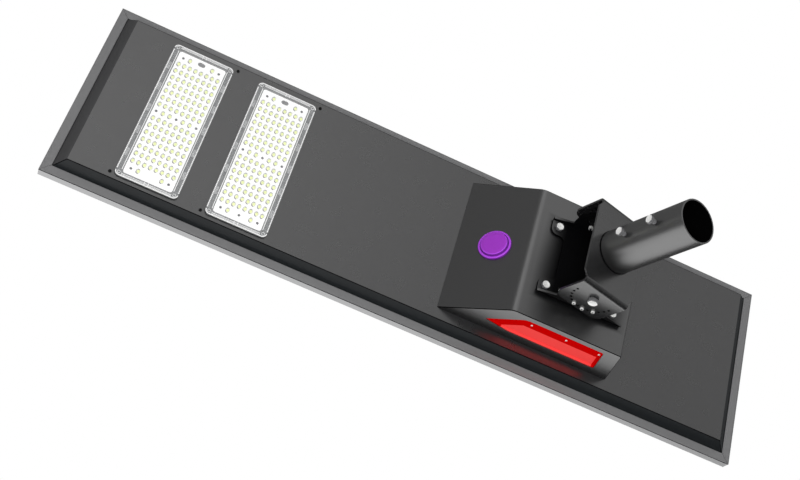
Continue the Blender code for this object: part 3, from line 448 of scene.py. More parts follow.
@functools.cache
def drawn_lines():
    """Fine lines that drawing, rolling or turning leaves, stretched along one axis."""
    inputs, outputs = ("Colour", "Stretch", "Tone", "Roughness", "Spread"), ("Colour", "Roughness", "Height")
    group, given, out = node_group("drawn_lines", inputs, outputs)
    place = vector_node(group, "MULTIPLY", object_place(group), given["Stretch"])[0]
    lines = about_zero(group, noise(group, place, scale=1.0, detail=5.0, roughness=0.6))
    vary(group, given, out, lines, lines)
    group.links.new(lines, out["Height"])
    return group


@functools.cache
def dust_film():
    """Thin dust that settles on faces turned to the sky."""
    group, given, out = node_group("dust_film", ("Colour", "Dust Colour", "Amount"), ("Colour", "Mask"))
    facing = ramp(group, apart(group, add(group, "NewGeometry").outputs["Normal"])["Z"], 0.35, 0.95)
    drift = noise(group, object_place(group), scale=11.0, detail=6.0, roughness=0.62)
    cover(group, given, out, facing, ramp(group, drift, 0.35, 0.75), "Dust Colour")
    return group


def use(tree, group, inputs):
    return add(tree, "Group", inputs, node_tree=group).outputs


def opaque(shade):
    """A colour as a shader takes it, from display steps or from the name of one of the lamp's finishes."""
    if isinstance(shade, str):
        return (*getattr(bpy.context.scene.lamp_finishes, shade), 1.0)
    return (*linear(*shade), 1.0)


def surface(name, **sockets):
    """A new material, with its node tree and its Principled shader's inputs."""
    material = bpy.data.materials.new(name)
    material.use_nodes = True
    material.cycles.emission_sampling = "NONE"
    inputs = material.node_tree.nodes["Principled BSDF"].inputs
    for label, value in sockets.items():
        inputs[label.replace("_", " ")].default_value = value
    return material, material.node_tree, inputs


def join(tree, inputs, **sockets):
    """Joins nodes to the shader's inputs of those names."""
    for label, value in sockets.items():
        tree.links.new(value, inputs[label.replace("_", " ")])


def bump(tree, height, strength, distance):
    return add(tree, "Bump", {"Height": height, "Strength": strength, "Distance": distance}).outputs[0]


def grain_over(tree, shade, roughness, tone, peel, spread):
    return use(tree, coat_grain(), {
        "Colour": shade, "Tone": tone, "Peel": peel, "Roughness": roughness, "Spread": spread})


def dusted(tree, shade, amount, dust=(150, 146, 138)):
    return use(tree, dust_film(), {"Colour": shade, "Dust Colour": opaque(dust), "Amount": amount})["Colour"]


def worn_edges(tree, shade, edge, amount):
    return use(tree, edge_wear(), {"Colour": shade, "Edge Colour": opaque(edge), "Amount": amount})


# How deep the grain of a sprayed coat and of the other finishes goes
COAT_RELIEF, RELIEF = 0.00004, 0.0002
# A sprayed coat's grain, the dust on it, the lighter shade of its worn edges, which is also a painted
# highlight along them, and their roughness where they are polished
COAT_TONE, COAT_PEEL, COAT_SPREAD, COAT_HEIGHT, COAT_DUST = 0.10, 1900.0, 0.05, 0.15, 0.18
COAT_EDGE_WEAR_AND_HIGHLIGHT, POLISHED = (122, 123, 125), 0.3


def coated(
        name, shade, roughness, ior, peel=COAT_PEEL, edge=COAT_EDGE_WEAR_AND_HIGHLIGHT, wear=0.5, height=COAT_HEIGHT,
        dust=COAT_DUST):
    """A powder coat with its grain, worn edges of a lighter tone that also paint a highlight, and a little
    dust on top.
    """
    material, tree, inputs = surface(name, IOR=ior)
    grain = grain_over(tree, opaque(shade), roughness, COAT_TONE, peel, COAT_SPREAD)
    worn = worn_edges(tree, grain["Colour"], edge, wear)
    join(tree, inputs, Base_Color=dusted(tree, worn["Colour"], dust),
         Roughness=ramp(tree, worn["Mask"], 0.0, 1.0, grain["Roughness"], POLISHED),
         Normal=bump(tree, grain["Height"], height, COAT_RELIEF))
    return material


# Where the painted shade round the base bracket starts to lift and where it is gone, out from the pivot along
# x and y
BRACKET_SHADE_REACH = ((0.050, 0.090), (0.070, 0.085))


def box_coat(name):
    """The black coat of the box and its bracket, with a painted shade round the bracket: black and without
    gloss down between its ears.
    """
    material, tree, inputs = surface(name, IOR=1.2, Coat_IOR=2.75, Coat_Roughness=0.32)
    grain = grain_over(tree, opaque("black_coat"), 0.6, COAT_TONE, COAT_PEEL, COAT_SPREAD)
    clear_of_shade = []
    for place, reach in zip(apart(tree, object_place(tree)), BRACKET_SHADE_REACH):
        clear_of_shade.append(ramp(tree, math_node(tree, "ABSOLUTE", place), *reach))
    out_of_shade = math_node(tree, "MAXIMUM", *clear_of_shade)
    # Painted shade: the seal's black and no coat gloss where the bracket hides the light
    shade = mix(tree, out_of_shade, opaque("seal"), grain["Colour"])
    join(tree, inputs, Base_Color=dusted(tree, shade, COAT_DUST), Roughness=grain["Roughness"],
         Coat_Weight=out_of_shade, Normal=bump(tree, grain["Height"], COAT_HEIGHT, COAT_RELIEF))
    return material


def metal(name, shade, stretch, roughness, spread, tone, wear=0.0, metallic=1.0):
    """Metal with drawn or turned lines and brighter edges."""
    material, tree, inputs = surface(name, Metallic=metallic)
    lines = use(tree, drawn_lines(), {
        "Colour": opaque(shade), "Stretch": stretch, "Tone": tone, "Roughness": roughness, "Spread": spread})
    worn = worn_edges(tree, lines["Colour"], (244, 244, 244), wear)
    join(tree, inputs, Base_Color=worn["Colour"], Roughness=lines["Roughness"],
         Normal=bump(tree, lines["Height"], 0.08, RELIEF))
    return material


def moulded(name, shade, roughness, tone=0.14, peel=1400.0, spread=0.12, height=0.06, glow=0.0, **sockets):
    """Plastic, rubber or mask with a fine grain. It may have a little painted glow, or let show what lies
    behind it.
    """
    material, tree, inputs = surface(name, Roughness=roughness, Emission_Strength=glow, **sockets)
    grain = grain_over(tree, opaque(shade), roughness, tone, peel, spread)
    join(tree, inputs, Base_Color=grain["Colour"])
    if spread:
        join(tree, inputs, Roughness=grain["Roughness"])
    if height:
        join(tree, inputs, Normal=bump(tree, grain["Height"], height, RELIEF))
    if glow:
        join(tree, inputs, Emission_Color=grain["Colour"])
    return material


# How far the painted shadow band of a window reaches from the floor, the slope and the pole end of the box
WINDOW_SHADOW_BAND = (0.0345, 0.0475, 0.0345)
BAND_BLUR = 0.0003


def window_lacquer(name):
    """Red lacquer with a painted shadow: a darker band along the window's floor, slope and pole end."""
    material, tree, inputs = surface(name, Specular_IOR_Level=0.0)
    calc = functools.partial(math_node, tree)
    place, way = object_place(tree), BOX_SLOPE.normalized()
    x, _, z = apart(tree, place)
    inward = vector_node(tree, "DOT_PRODUCT", place, (way.z, 0, -way.x))["Value"]
    from_slope = calc("SUBTRACT", inward, BOX_TIP_X * way.z - TRAY_Z * way.x)
    from_floor = calc("SUBTRACT", z, BOX_FLOOR_Z)
    from_end = calc("SUBTRACT", calc("MULTIPLY_ADD", from_floor, BOX_END_LEAN, x), BOX_END_X)
    floor, slope, end = (
        ramp(tree, reach, band - BAND_BLUR, band + BAND_BLUR)
        for reach, band in zip((from_floor, from_slope, from_end), WINDOW_SHADOW_BAND))
    # Painted light: lit red away from the band, the shadow's red in it
    lit = calc("MULTIPLY", calc("MULTIPLY", floor, slope), end)
    shade = mix(tree, lit, opaque("red"), opaque("lit_red"))
    grain = grain_over(tree, shade, roughness=0.35, tone=0.08, peel=1400.0, spread=0.12)
    join(tree, inputs, Base_Color=grain["Colour"], Roughness=grain["Roughness"],
         Normal=bump(tree, grain["Height"], 0.06, RELIEF))
    return material


def frosted_pad(name):
    """Speckled white, thinner between the specks."""
    material, tree, inputs = surface(name, Roughness=0.7)
    fine = noise(tree, object_place(tree), scale=900.0, detail=3.0, roughness=0.7)
    speckle = ramp(tree, fine, 0.36, 0.62)
    join(tree, inputs, Base_Color=mix(tree, speckle, opaque((138, 139, 141)), opaque((226, 227, 228))),
         Alpha=ramp(tree, speckle, 0.0, 1.0, 0.55, 0.85), Normal=bump(tree, speckle, 0.3, 0.0003))
    return material


# Cells along and across the panel. Widths of busbars and fingers are shares of their spacing
CELL_GRID = (9, 4)
CELL_PITCH = (0.1340, 0.0800)
CELL_GAP = 0.0022
CELL_CORNER = 0.0075
CELL_TINT = 0.35
BUSBAR_COUNT, BUSBAR_HALF_WIDTH = 5, 0.035
FINGER_PITCH, FINGER_WIDTH, FINGER_STRENGTH = 0.0022, 0.12, 0.35


def solar_cells(name):
    """Cut silicon cells with busbars and fingers, seen through the glass."""
    material, tree, inputs = surface(name, Coat_Weight=1.0, Coat_Roughness=0.04)
    calc = functools.partial(math_node, tree)
    place = apart(tree, object_place(tree))
    inside, number, parts, margins = [], [], [], []
    for axis, middle in enumerate((PANEL_CENTRE_X, 0.0)):
        count, pitch = CELL_GRID[axis], CELL_PITCH[axis]
        steps = calc("DIVIDE", calc("SUBTRACT", place[axis], middle - count * pitch / 2), pitch)
        parts.append(calc("FRACT", steps))
        off_middle = calc("ABSOLUTE", about_zero(tree, parts[axis]))
        margins.append(calc("MULTIPLY", calc("SUBTRACT", 0.5, off_middle), pitch))
        on_grid = calc("MULTIPLY", calc("GREATER_THAN", steps, 0.0), calc("LESS_THAN", steps, float(count)))
        inside.append(calc("MULTIPLY", on_grid, calc("GREATER_THAN", margins[axis], CELL_GAP / 2)))
        number.append(calc("FLOOR", steps))
    uncut = calc("GREATER_THAN", calc("ADD", *margins), CELL_CORNER)
    cell = calc("MULTIPLY", calc("MULTIPLY", *inside), uncut)
    which = add(tree, "CombineXYZ", dict(enumerate(number))).outputs[0]
    each = add(tree, "TexWhiteNoise", {"Vector": which}, noise_dimensions="3D").outputs["Value"]
    grain = grain_over(tree, opaque("cell"), roughness=0.3, tone=0.5, peel=900.0, spread=0.1)
    tint = mix(tree, calc("MULTIPLY", each, CELL_TINT), grain["Colour"], opaque((30, 34, 58)))
    bars = calc("FRACT", calc("MULTIPLY", parts[1], float(BUSBAR_COUNT)))
    bar = calc("LESS_THAN", calc("ABSOLUTE", about_zero(tree, bars)), BUSBAR_HALF_WIDTH)
    fingers = calc("FRACT", calc("MULTIPLY", place[0], 1 / FINGER_PITCH))
    finger = calc("MULTIPLY", calc("LESS_THAN", fingers, FINGER_WIDTH), FINGER_STRENGTH)
    silver = opaque((176, 178, 182))
    barred = mix(tree, bar, mix(tree, finger, tint, silver), silver)
    sheet = mix(tree, cell, opaque((226, 228, 230)), barred)
    join(tree, inputs, Base_Color=dusted(tree, sheet, 0.10, (170, 164, 150)), Roughness=grain["Roughness"])
    return material


# What the tray's coats, the rails, the plating and the clear plastics have in common
TRAY_SPRAY = dict(peel=1700.0, edge=(70, 70, 71), height=0.06)
ANODISED = dict(shade="aluminium", roughness=0.38, spread=0.14, tone=0.16)
PLATED = dict(stretch=(420.0, 420.0, 90.0), spread=0.12, tone=0.1, wear=0.3)
CLEAR = dict(tone=0.1, peel=300.0, spread=0.1, height=0.0)

FINISHES = {
    "black_powder_coat": (coated, dict(shade="black_coat", roughness=0.26, ior=2.6)),
    "sleeve_powder_coat": (coated, dict(shade="black_coat", roughness=0.35, ior=3.2, dust=0.0)),
    "box_powder_coat": (box_coat, {}),
    "tray_powder_coat": (coated, dict(TRAY_SPRAY, shade="tray_coat", roughness=0.28, ior=2.3, wear=0.35)),
    # Painted shade on the tray's long sides and pole end, which are darker, and on its lamp end, which is an
    # even flat grey
    "tray_side_painted_shade": (coated, dict(TRAY_SPRAY, shade=(26, 29, 31), roughness=0.34, ior=1.5, wear=0.0)),
    "tray_end_painted_shade": (coated, dict(TRAY_SPRAY, shade=(62, 62, 63), roughness=0.4, ior=1.4, wear=0.0)),
    "anodised_rail": (metal, dict(ANODISED, stretch=(6.0, 900.0, 900.0))),
    "anodised_end_rail": (metal, dict(ANODISED, stretch=(900.0, 6.0, 900.0))),
    # Painted shade: the rails' lower faces, darker and less metallic than their sides
    "anodised_rim_painted_shade": (metal, dict(
        shade="rim", stretch=(900.0, 900.0, 900.0), roughness=0.5, spread=0.14, tone=0.12, metallic=0.25)),
    "bright_zinc": (metal, dict(PLATED, shade="zinc", roughness=0.30, metallic=0.3)),
    # Painted shade on the sides of a bolt's head and its thread, greyer than its face
    "flank_zinc_painted_shade": (metal, dict(PLATED, shade=(128, 128, 130), roughness=0.34, metallic=0.4)),
    # Dark steel of the board screws' heads, and painted shade down in a socket or a screw's cross
    "dark_steel_and_recess_shade": (metal, dict(
        shade=(96, 94, 100), stretch=(300.0, 300.0, 300.0), roughness=0.5, spread=0.2, tone=0.4)),
    # Black of the frame's seal strip, and painted shade on folds, cut edges, the weld and screw crosses
    "black_seal_and_painted_shade": (moulded, dict(shade="seal", roughness=0.85, IOR=1.2)),
    # Painted shade inside the sleeve and the index holes
    "bore_painted_shade": (moulded, dict(shade=(4, 4, 4), roughness=0.9, IOR=1.2)),
    "black_oxide": (moulded, dict(shade=(10, 10, 11), roughness=0.45)),
    "grey_rubber": (moulded, dict(shade=(112, 112, 114), roughness=0.6)),
    "black_plastic": (moulded, dict(shade=(30, 30, 32), roughness=0.45)),
    "green_board": (moulded, dict(shade=(24, 92, 48), roughness=0.4)),
    "battery_wrap": (moulded, dict(shade=(44, 92, 156), roughness=0.35)),
    "back_sheet": (moulded, dict(shade=(214, 215, 214), roughness=0.5)),
    "red_lacquer": (window_lacquer, {}),
    "clear_flange": (moulded, dict(CLEAR, shade=(186, 188, 189), roughness=0.12, Alpha=0.29)),
    "clear_plate": (moulded, dict(CLEAR, shade=(250, 252, 250), roughness=0.06, Alpha=0.10)),
    "clear_dome": (moulded, dict(CLEAR, shade=(250, 252, 250), roughness=0.06, Alpha=0.05)),
    # Ribs, beads, bars and rings nearly opaque white: a painted highlight on the clear plastic's raised edges
    "clear_rib_painted_highlight": (moulded, dict(CLEAR, shade=(252, 252, 252), roughness=0.2, Alpha=0.95)),
    "frosted_pad": (frosted_pad, {}),
    # A light's phosphor with a painted glow, its pale side as painted light, and its foot with painted shade
    # and half shade
    "light_crown": (moulded, dict(
        shade="light", roughness=0.16, tone=0.2, peel=500.0, spread=0.0, height=0.0, glow=0.25)),
    "light_painted_pale_side": (moulded, dict(shade=(244, 246, 232), roughness=0.2)),
    "light_foot_painted_shade": (moulded, dict(shade=(40, 36, 48), roughness=0.4)),
    "light_foot_painted_half_shade": (moulded, dict(shade=(196, 192, 204), roughness=0.4)),
    # Solder mask over faint copper, with a painted glow
    "white_board": (moulded, dict(
        shade="board", roughness=0.45, tone=0.04, peel=800.0, spread=0.0, height=0.05, glow=0.22)),
    # The sensor lens with a painted glow
    "purple_lens": (moulded, dict(
        shade="purple", roughness=0.22, tone=0.18, peel=260.0, spread=0.1, height=0.0, glow=0.12)),
    # The sensor's flange and face edge with a painted highlight, and its walls and groove with a painted
    # shade
    "purple_rim_painted_highlight": (moulded, dict(shade=(178, 74, 226), roughness=0.2)),
    "purple_wall_painted_shade": (moulded, dict(shade=(112, 38, 148), roughness=0.3)),
    "solar_cells": (solar_cells, {}),
}


@functools.cache
def finish(name):
    """The material of that name, made at its first use."""
    make, values = FINISHES[name]
    return make(name, **values)


def bolt_place(node, outward, head):
    """A bolt's seat, with +Z outward and +X to a corner, and its depth below it, read from its CAD node."""
    points = [vertex.co for vertex in frame["nodes"][node].data.vertices]
    heights = [point.dot(outward) for point in points]
    top, tip, slack = max(heights), min(heights), 1e-4
    crown = [point for point, height in zip(points, heights) if height > top - slack]
    middle = sum(crown, Vector()) / len(crown)
    flank = [point - middle for point, height in zip(points, heights) if height > top - head + slack]
    corner = max(flank, key=lambda spoke: (spoke - outward * spoke.dot(outward)).length)
    return along(outward, corner, middle - outward * head), top - head - tip


# A hexagon head's round face and the edge of its flanks, as shares of its width
HEX_FACE, HEX_FLANK = 0.47, 0.49
# The washer under it, as a share of its height, the slope of its cut corners and the depth of its dish
HEX_WASHER, HEX_CUT, HEX_DISH = 0.06, 0.55, 0.0002


def hexagon_ring(flats, sides, height, cut_from=math.inf):
    """Points round a hexagon, lower where they lie further out than the start of the cut."""
    ring = []
    for step in range(sides):
        angle = math.tau * step / sides
        within = (angle + math.pi / 6) % (math.pi / 3) - math.pi / 6
        radius = flats / 2 / math.cos(math.pi / 6 - abs(within))
        drop = max(0.0, radius - cut_from) * HEX_CUT
        ring.append(Vector((radius * math.cos(angle), radius * math.sin(angle), height - drop)))
    return ring


def hexagon_head(shape, flats, height, sides=72):
    """A hexagon whose corners are cut back by the turning tool. Its flanks take the second material, a
    painted shade.
    """
    face, washer = flats * HEX_FACE, height * HEX_WASHER
    rings = [level(circle(face, sides), 0), level(circle(face, sides), washer)]
    rings += [hexagon_ring(flats, sides, washer), hexagon_ring(flats, sides, height, face)]
    for part, drop in ((1.0, 0.0), (0.9, 0.0), (0.82, HEX_DISH)):
        rings.append(level(circle(face * part, sides), height - drop))
    for made in skin(shape, rings):
        if made.calc_center_median().xy.length > flats * HEX_FLANK:
            made.material_index = 1


# One turn of a thread: whether it stands at the crest, and how far along the pitch
THREAD_TURN = ((False, 0.0), (True, 0.4), (True, 0.55), (False, 0.95))
THREAD_DEPTH = 0.55
SHANK_IN_HEAD = 0.0008


def threaded_shank(shape, radius, depth, pitch, sides=24):
    """A shank below the seat with ridges turned into it and a chamfered tip."""
    root = radius - THREAD_DEPTH * pitch
    profile = [(root, SHANK_IN_HEAD)]
    for turn in range(max(2, int((depth - pitch) / pitch))):
        profile += [(radius if crest else root, -(turn + part) * pitch) for crest, part in THREAD_TURN]
    profile.append((root * 0.86, -depth))
    turned(shape, profile, sides, material=1)


def socket_head(shape, radius, height, socket, depth, sides=48):
    """A round cap with a hexagon socket sunk in it. The socket's walls and floor take the second material,
    which paints their shade.
    """
    chamfer, slack = 0.0005, 1e-5
    rim = ((radius, 0), (radius, height - chamfer), (radius - chamfer, height))
    rings = [level(circle(r, sides), z) for r, z in rim]
    rings += [hexagon_ring(socket, sides, z) for z in (height, height - depth)]
    for face in skin(shape, rings):
        middle = face.calc_center_median()
        if middle.xy.length < socket * 0.6 and slack < middle.z < height - slack:
            face.material_index = 1


# A pan head from its rim to its middle, and the arms of the cross in it, as shares of its radius and height
PAN_HEAD = ((1.0, 0.0), (1.0, 0.35), (0.86, 0.8), (0.5, 1.0))
CROSS_ARM, CROSS_HALF_WIDTH, CROSS_FLOOR = 0.62, 0.13, 0.6
CROSS_PROUD = 0.00005


def cross_screw(shape, centre, radius, height, base):
    """A pan-head screw on a base height, with a dark cross block sunk into its top that takes the second
    material and paints the shade of a cross recess.
    """
    turned(shape, [(radius * reach, base + height * rise) for reach, rise in PAN_HEAD], 20, centre)
    arm, half = radius * CROSS_ARM, radius * CROSS_HALF_WIDTH
    for size in ((arm, half), (half, arm)):
        block(shape, centre, size, (base + height * CROSS_FLOOR, base + height + CROSS_PROUD), 1)


# Width across flats, height of the head and radius of the shank
SMALL_BOLT, LARGE_BOLT = (0.013, 0.0055, 0.0040), (0.016, 0.0070, 0.0050)
BOLTS = (
    *((f"base_bolt_{number}", "lamp_head", DOWN_FROM_HEAD, SMALL_BOLT) for number in (1, 2, 3, 4)),
    *((f"pivot_bolt_{side}", "pole_bracket", Vector((0, y, 0)), LARGE_BOLT) for side, y in SIDES),
    *((screw, screw, SET_SCREW_OUTWARD, SMALL_BOLT) for screw in ("set_screw_lower", "set_screw_upper")),
)
# Height of a lock bolt's head in the CAD, and its radius, height, socket, socket depth and shank as dressed
LOCK_BOLT_HEAD = 0.0032
LOCK_BOLT = (0.0032, 0.0025, 0.0028, 0.0012, 0.0020)
# Its thread, as a share of the other bolts'
LOCK_BOLT_PITCH = 0.6

# The arc of index holes in the saddle, how far their walls reach from it, and the most area of a wall's facet
INDEX_RADIUS = 0.036
BORE_REACH = 0.0027
BORE_FACET = 1e-5


def in_index_hole(face):
    """True of the walls of the saddle's index holes, which get a painted shade."""
    reach = math.hypot(face.center.x, face.center.z - PIVOT_HEIGHT)
    return abs(reach - INDEX_RADIUS) < BORE_REACH and face.area < BORE_FACET and abs(face.normal.y) < 0.4


def in_sleeve(face):
    return face.normal.xy.dot(face.center.xy.normalized()) < -0.5


# The weld's ripples round the sleeve, and its half width, drop and half height as shares of its size
WELD_RIPPLES, WELD_RIPPLE = 24, 0.006
WELD_HALF_WIDTH, WELD_DROP, WELD_HALF_HEIGHT = 0.6, 0.4, 0.8


def weld_bead(shape, radius, top, size, sides=96, steps=10):
    """A rippled bead round the top of the sleeve."""
    ripples = [1 + WELD_RIPPLE * math.sin(index * math.tau * WELD_RIPPLES / sides) for index in range(sides)]
    rings = []
    for step in range(steps):
        angle = math.tau * step / steps
        reach = radius + size * WELD_HALF_WIDTH * math.cos(angle)
        height = top - size * WELD_DROP + size * WELD_HALF_HEIGHT * math.sin(angle)
        rings.append([Vector((x * r, y * r, height)) for (x, y), r in zip(circle(reach, sides), ripples)])
    skin(shape, rings, looped=True)


class LAMP_OT_sleeve(bpy.types.Operator):
    """Make the pole sleeve, the saddle welded on it and the weld between them"""

    bl_idname = "street_lamp.sleeve"
    bl_label = "Sleeve and saddle"

    def execute(self, context):
        sizes = context.scene.lamp_sizes
        sleeve = rounded_node(
            "pole_sleeve", "sleeve_tube", sizes.sheet_edge, "sleeve_powder_coat",
            SLEEVE, "pole_bracket")
        # Painted shade: the inside of the sleeve and the walls of the index holes are near black
        paint_faces(sleeve, "bore_painted_shade", in_sleeve)
        saddle = rounded_node(
            "saddle_bracket", "saddle_sheet", sizes.hole_edge, "black_powder_coat",
            SLEEVE, "pole_bracket")
        paint_faces(saddle, "bore_painted_shade", in_index_hole)
        low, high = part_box("pole_sleeve")
        shape = bmesh.new()
        weld_bead(shape, (high.x - low.x) / 2, high.z, sizes.weld)
        # The weld is painted black, a painted shade line round the foot of the sleeve
        piece("sleeve_weld", shape, ["black_seal_and_painted_shade"], "pole_bracket", SLEEVE)
        return {"FINISHED"}


# Twice the area of a sheet's cut edge over the length round it is less than this
CUT_EDGE = 0.0045


def cut_edges(made):
    """Tells which faces are the upright cut edges of a sheet, which are long and thin."""
    def is_cut(face):
        points = [made.data.vertices[index].co for index in face.vertices]
        length_round = sum((a - b).length for a, b in zip(points, points[1:] + points[:1]))
        return 2 * face.area / length_round < CUT_EDGE and abs(face.normal.z) < 0.9

    return is_cut


class LAMP_OT_base_bracket(bpy.types.Operator):
    """Make the folded base bracket on the battery box"""

    bl_idname = "street_lamp.base_bracket"
    bl_label = "Base bracket"

    def execute(self, context):
        edge = context.scene.lamp_sizes.sheet_edge
        base = rounded_node("base_bracket", "base_sheet", edge, "box_powder_coat")
        # The bracket's cut edges are painted black, a painted shade line along them
        paint_faces(base, "black_seal_and_painted_shade", cut_edges(base))
        return {"FINISHED"}


class LAMP_OT_bolts(bpy.types.Operator):
    """Make the hexagon bolts, the socket-headed lock bolts and the nuts"""

    bl_idname = "street_lamp.bolts"
    bl_label = "Bolts and nuts"

    def execute(self, context):
        pitch = context.scene.lamp_sizes.thread_pitch
        for node, body, outward, (flats, head, shank) in BOLTS:
            place, depth = bolt_place(node, outward, head)
            shape = bmesh.new()
            hexagon_head(shape, flats, head)
            threaded_shank(shape, shank, depth, pitch)
            made = piece(f"{node}_dressed", shape, ["bright_zinc", "flank_zinc_painted_shade"], body, place)
            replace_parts(made, node)
        radius, head, socket, sunk, shank = LOCK_BOLT
        # The lock bolts' sockets take a painted shade
        coats = ["bright_zinc", "dark_steel_and_recess_shade"]
        for side, y in SIDES:
            for number in (1, 2, 3):
                node = f"lock_bolt_{side}_{number}"
                place, depth = bolt_place(node, Vector((0, y, 0)), LOCK_BOLT_HEAD)
                shape = bmesh.new()
                socket_head(shape, radius, head, socket, sunk)
                threaded_shank(shape, shank, depth, pitch * LOCK_BOLT_PITCH, 16)
                made = piece(f"{node}_dressed", shape, coats, "pole_bracket", place)
                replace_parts(made, node)
                paint_nodes("bright_zinc", f"lock_nut_{side}_{number}")
            paint_nodes("bright_zinc", f"pivot_nut_{side}")
        return {"FINISHED"}


# The strip's section: how far in from the frame's edge and how far up from its rim
STRIP_SECTION = ((-0.00015, -0.00015), (-0.00015, 0.0022), (0.0012, 0.0022), (0.0012, -0.00015))


def faces_down(face):
    return face.normal.z < -0.7


class LAMP_OT_panel(bpy.types.Operator):
    """Make the frame rails, the strip in their rebate, the glass and the cells"""

    bl_idname = "street_lamp.panel"
    bl_label = "Solar panel"

    def execute(self, context):
        edge = context.scene.lamp_sizes.rail_edge
        rails = {"anodised_rail": ("left", "right"), "anodised_end_rail": ("lamp_end", "pole_end")}
        for coat, sides in rails.items():
            for side in sides:
                rail = rounded_node(f"frame_rail_{side}", f"rail_{side}", edge, coat)
                # Painted shade on the rails' faces turned down
                paint_faces(rail, "anodised_rim_painted_shade", faces_down)
        shape = bmesh.new()
        rings = []
        for inset, height in STRIP_SECTION:
            corners = corners_of(PANEL_LENGTH / 2 - inset, PANEL_WIDTH / 2 - inset)
            rings.append([Vector((PANEL_CENTRE_X + x, y, RIM_Z + height)) for x, y in corners])
        skin(shape, rings, looped=True)
        strip = piece("frame_strip", shape, ["black_seal_and_painted_shade"], "lamp_head", HEAD)
        # Painted shade on the strip's faces turned down
        paint_faces(strip, "anodised_rim_painted_shade", faces_down)
        rounded_node("panel_glass", "glass_sheet", edge, "solar_cells")
        paint_nodes("back_sheet", "cell_sheet")
        for side, _ in SIDES:
            paint_nodes("anodised_rail", f"corner_key_lamp_{side}", f"corner_key_pole_{side}")
        paint_nodes("black_plastic", "junction_box")
        return {"FINISHED"}


# Where a tray screw sits from the middle of its module, along and across the tray, and how high its head is
TRAY_SCREW_OFF = (0.0595, 0.1395)
TRAY_SCREW_HEIGHT = 0.0018


def on_shaded_side(face):
    """True of the tray's long sides and its pole end, which get a painted shade."""
    return face.normal.z < 0 and (abs(face.normal.y) > 0.8 or face.normal.x < -0.7)


def on_lamp_end(face):
    return face.normal.z < 0 and face.normal.x > 0.6


class LAMP_OT_tray(bpy.types.Operator):
    """Make the back tray and the black screws beside the light modules"""

    bl_idname = "street_lamp.tray"
    bl_label = "Back tray"

    def execute(self, context):
        sizes = context.scene.lamp_sizes
        tray = rounded_node(
            "back_tray", "tray_pan", sizes.tray_edge, "tray_powder_coat", pick=fold_edges)
        # Painted shade: darker long sides and pole end, a flat grey lamp end, and black lines along the
        # rounded folds
        paint_faces(tray, "tray_side_painted_shade", on_shaded_side)
        paint_faces(tray, "tray_end_painted_shade", on_lamp_end)
        paint_faces(tray, "black_seal_and_painted_shade", rounded_faces(tray))
        shape = bmesh.new()
        for _, middle in MODULES:
            for side in (-1, 1):
                centre = (middle + side * TRAY_SCREW_OFF[0], side * TRAY_SCREW_OFF[1])
                cross_screw(shape, centre, sizes.tray_screw / 2, TRAY_SCREW_HEIGHT, 0.0)
        # The tray screws' crosses are painted black, a painted shade
        coats = ["black_oxide", "black_seal_and_painted_shade"]
        piece("tray_screws", shape, coats, "lamp_head", under_tray(0, 0))
        return {"FINISHED"}


# A lens's finishes by slot, and those of a light
LENS_FINISHES = ("clear_flange", "clear_plate", "clear_rib_painted_highlight", "frosted_pad", "clear_dome")
PLATE, RIB, PAD, DOME = 1, 2, 3, 4
LIGHT_FINISHES = ("light_crown", "light_painted_pale_side", "light_foot_painted_shade", "light_foot_painted_half_shade")
CROWN, PALE, DARK, HALF_DARK = range(4)

# Sections of a lens, as insets and heights: its rim down to the channel, and its step up to the plate
CHANNEL = FLANGE_TOP - 0.0006
LENS_RIM = (
    (0.0, LENS_SEAT), (0.0, FLANGE_TOP - 0.0004), (0.0004, FLANGE_TOP), (0.0012, FLANGE_TOP),
    (0.0016, CHANNEL))
PLATE_STEP = ((-0.0004, CHANNEL), (0.0002, PLATE_TOP))

# Raised work on a lens: beads along its rim and round its ends, ribs, bars, tabs, pads and rings
BEAD_IN, BEAD_HALF_WIDTH, BEAD_RISE, BEADS_SHORT_OF_ENDS = 0.0011, 0.0010, 0.0004, 0.020
BEAD_PER_PITCH = 0.36  # half its length, as a share of the pitch
END_BEAD = (0.0001, 0.0017)
RIB_IN, RIB_HALF_WIDTH, RIB_RISE, RIB_SHORT_OF_END = 0.0012, 0.0006, 0.0003, 0.012
END_BARS = ((0.0030, 0.0003), (0.0050, 0.0004))
BAR_SHORT_OF_SIDE = 0.011
TAB_X, TAB_IN, TAB_HALF, TAB_RISE = 0.0032, 0.0044, (0.0006, 0.0022), 0.0008
PAD_IN, PAD_SIZE, PAD_CORNER, PAD_DEPTHS = 0.0049, (0.0050, 0.015), 0.0012, (0.0009, 0.0002)
RING_IN, RING_RADII = 0.0062, (0.0028, 0.0023)
SUNK, PROUD = 0.0008, 0.0002

# Sections of a clear dome and of a light's core, as shares of its radius and height
DOME_STEPS = ((1.0, -0.2), (1.0, 0.1), (0.92, 0.45), (0.72, 0.78), (0.42, 0.96), (0.12, 1.0))
CORE_STEPS = ((0.78, 0.12), (0.74, 0.50), (0.60, 0.80), (0.58, 0.82), (0.38, 0.95), (0.14, 1.0))
# Where the crown and the painted pale side start on a core, and how far the core is set off towards the pole
CROWN_FROM, PALE_FROM, CORE_OFF = 0.805, 0.10, 0.10
CORE_HEIGHT = 0.0007
CORE_FOOT = 0.0002
# How far a light is drawn out across the tray
LIGHT_STRETCH = 1.26
# Arcs of a light's foot with painted shade and half shade, in degrees from the lamp end
PAINTED_SHADE_ARCS = ((-122, -68), (15, 112))
PAINTED_HALF_SHADE_ARC = (-68, 15)

BOARD_SCREW_X, BOARD_SCREW_HEIGHT, BOARD_SCREW_SUNK = 0.032, 0.0010, 0.0001
LEAD_SLOT = (0.013, 0.008)
LEAD_SLOT_PAST_ROW = 0.0026
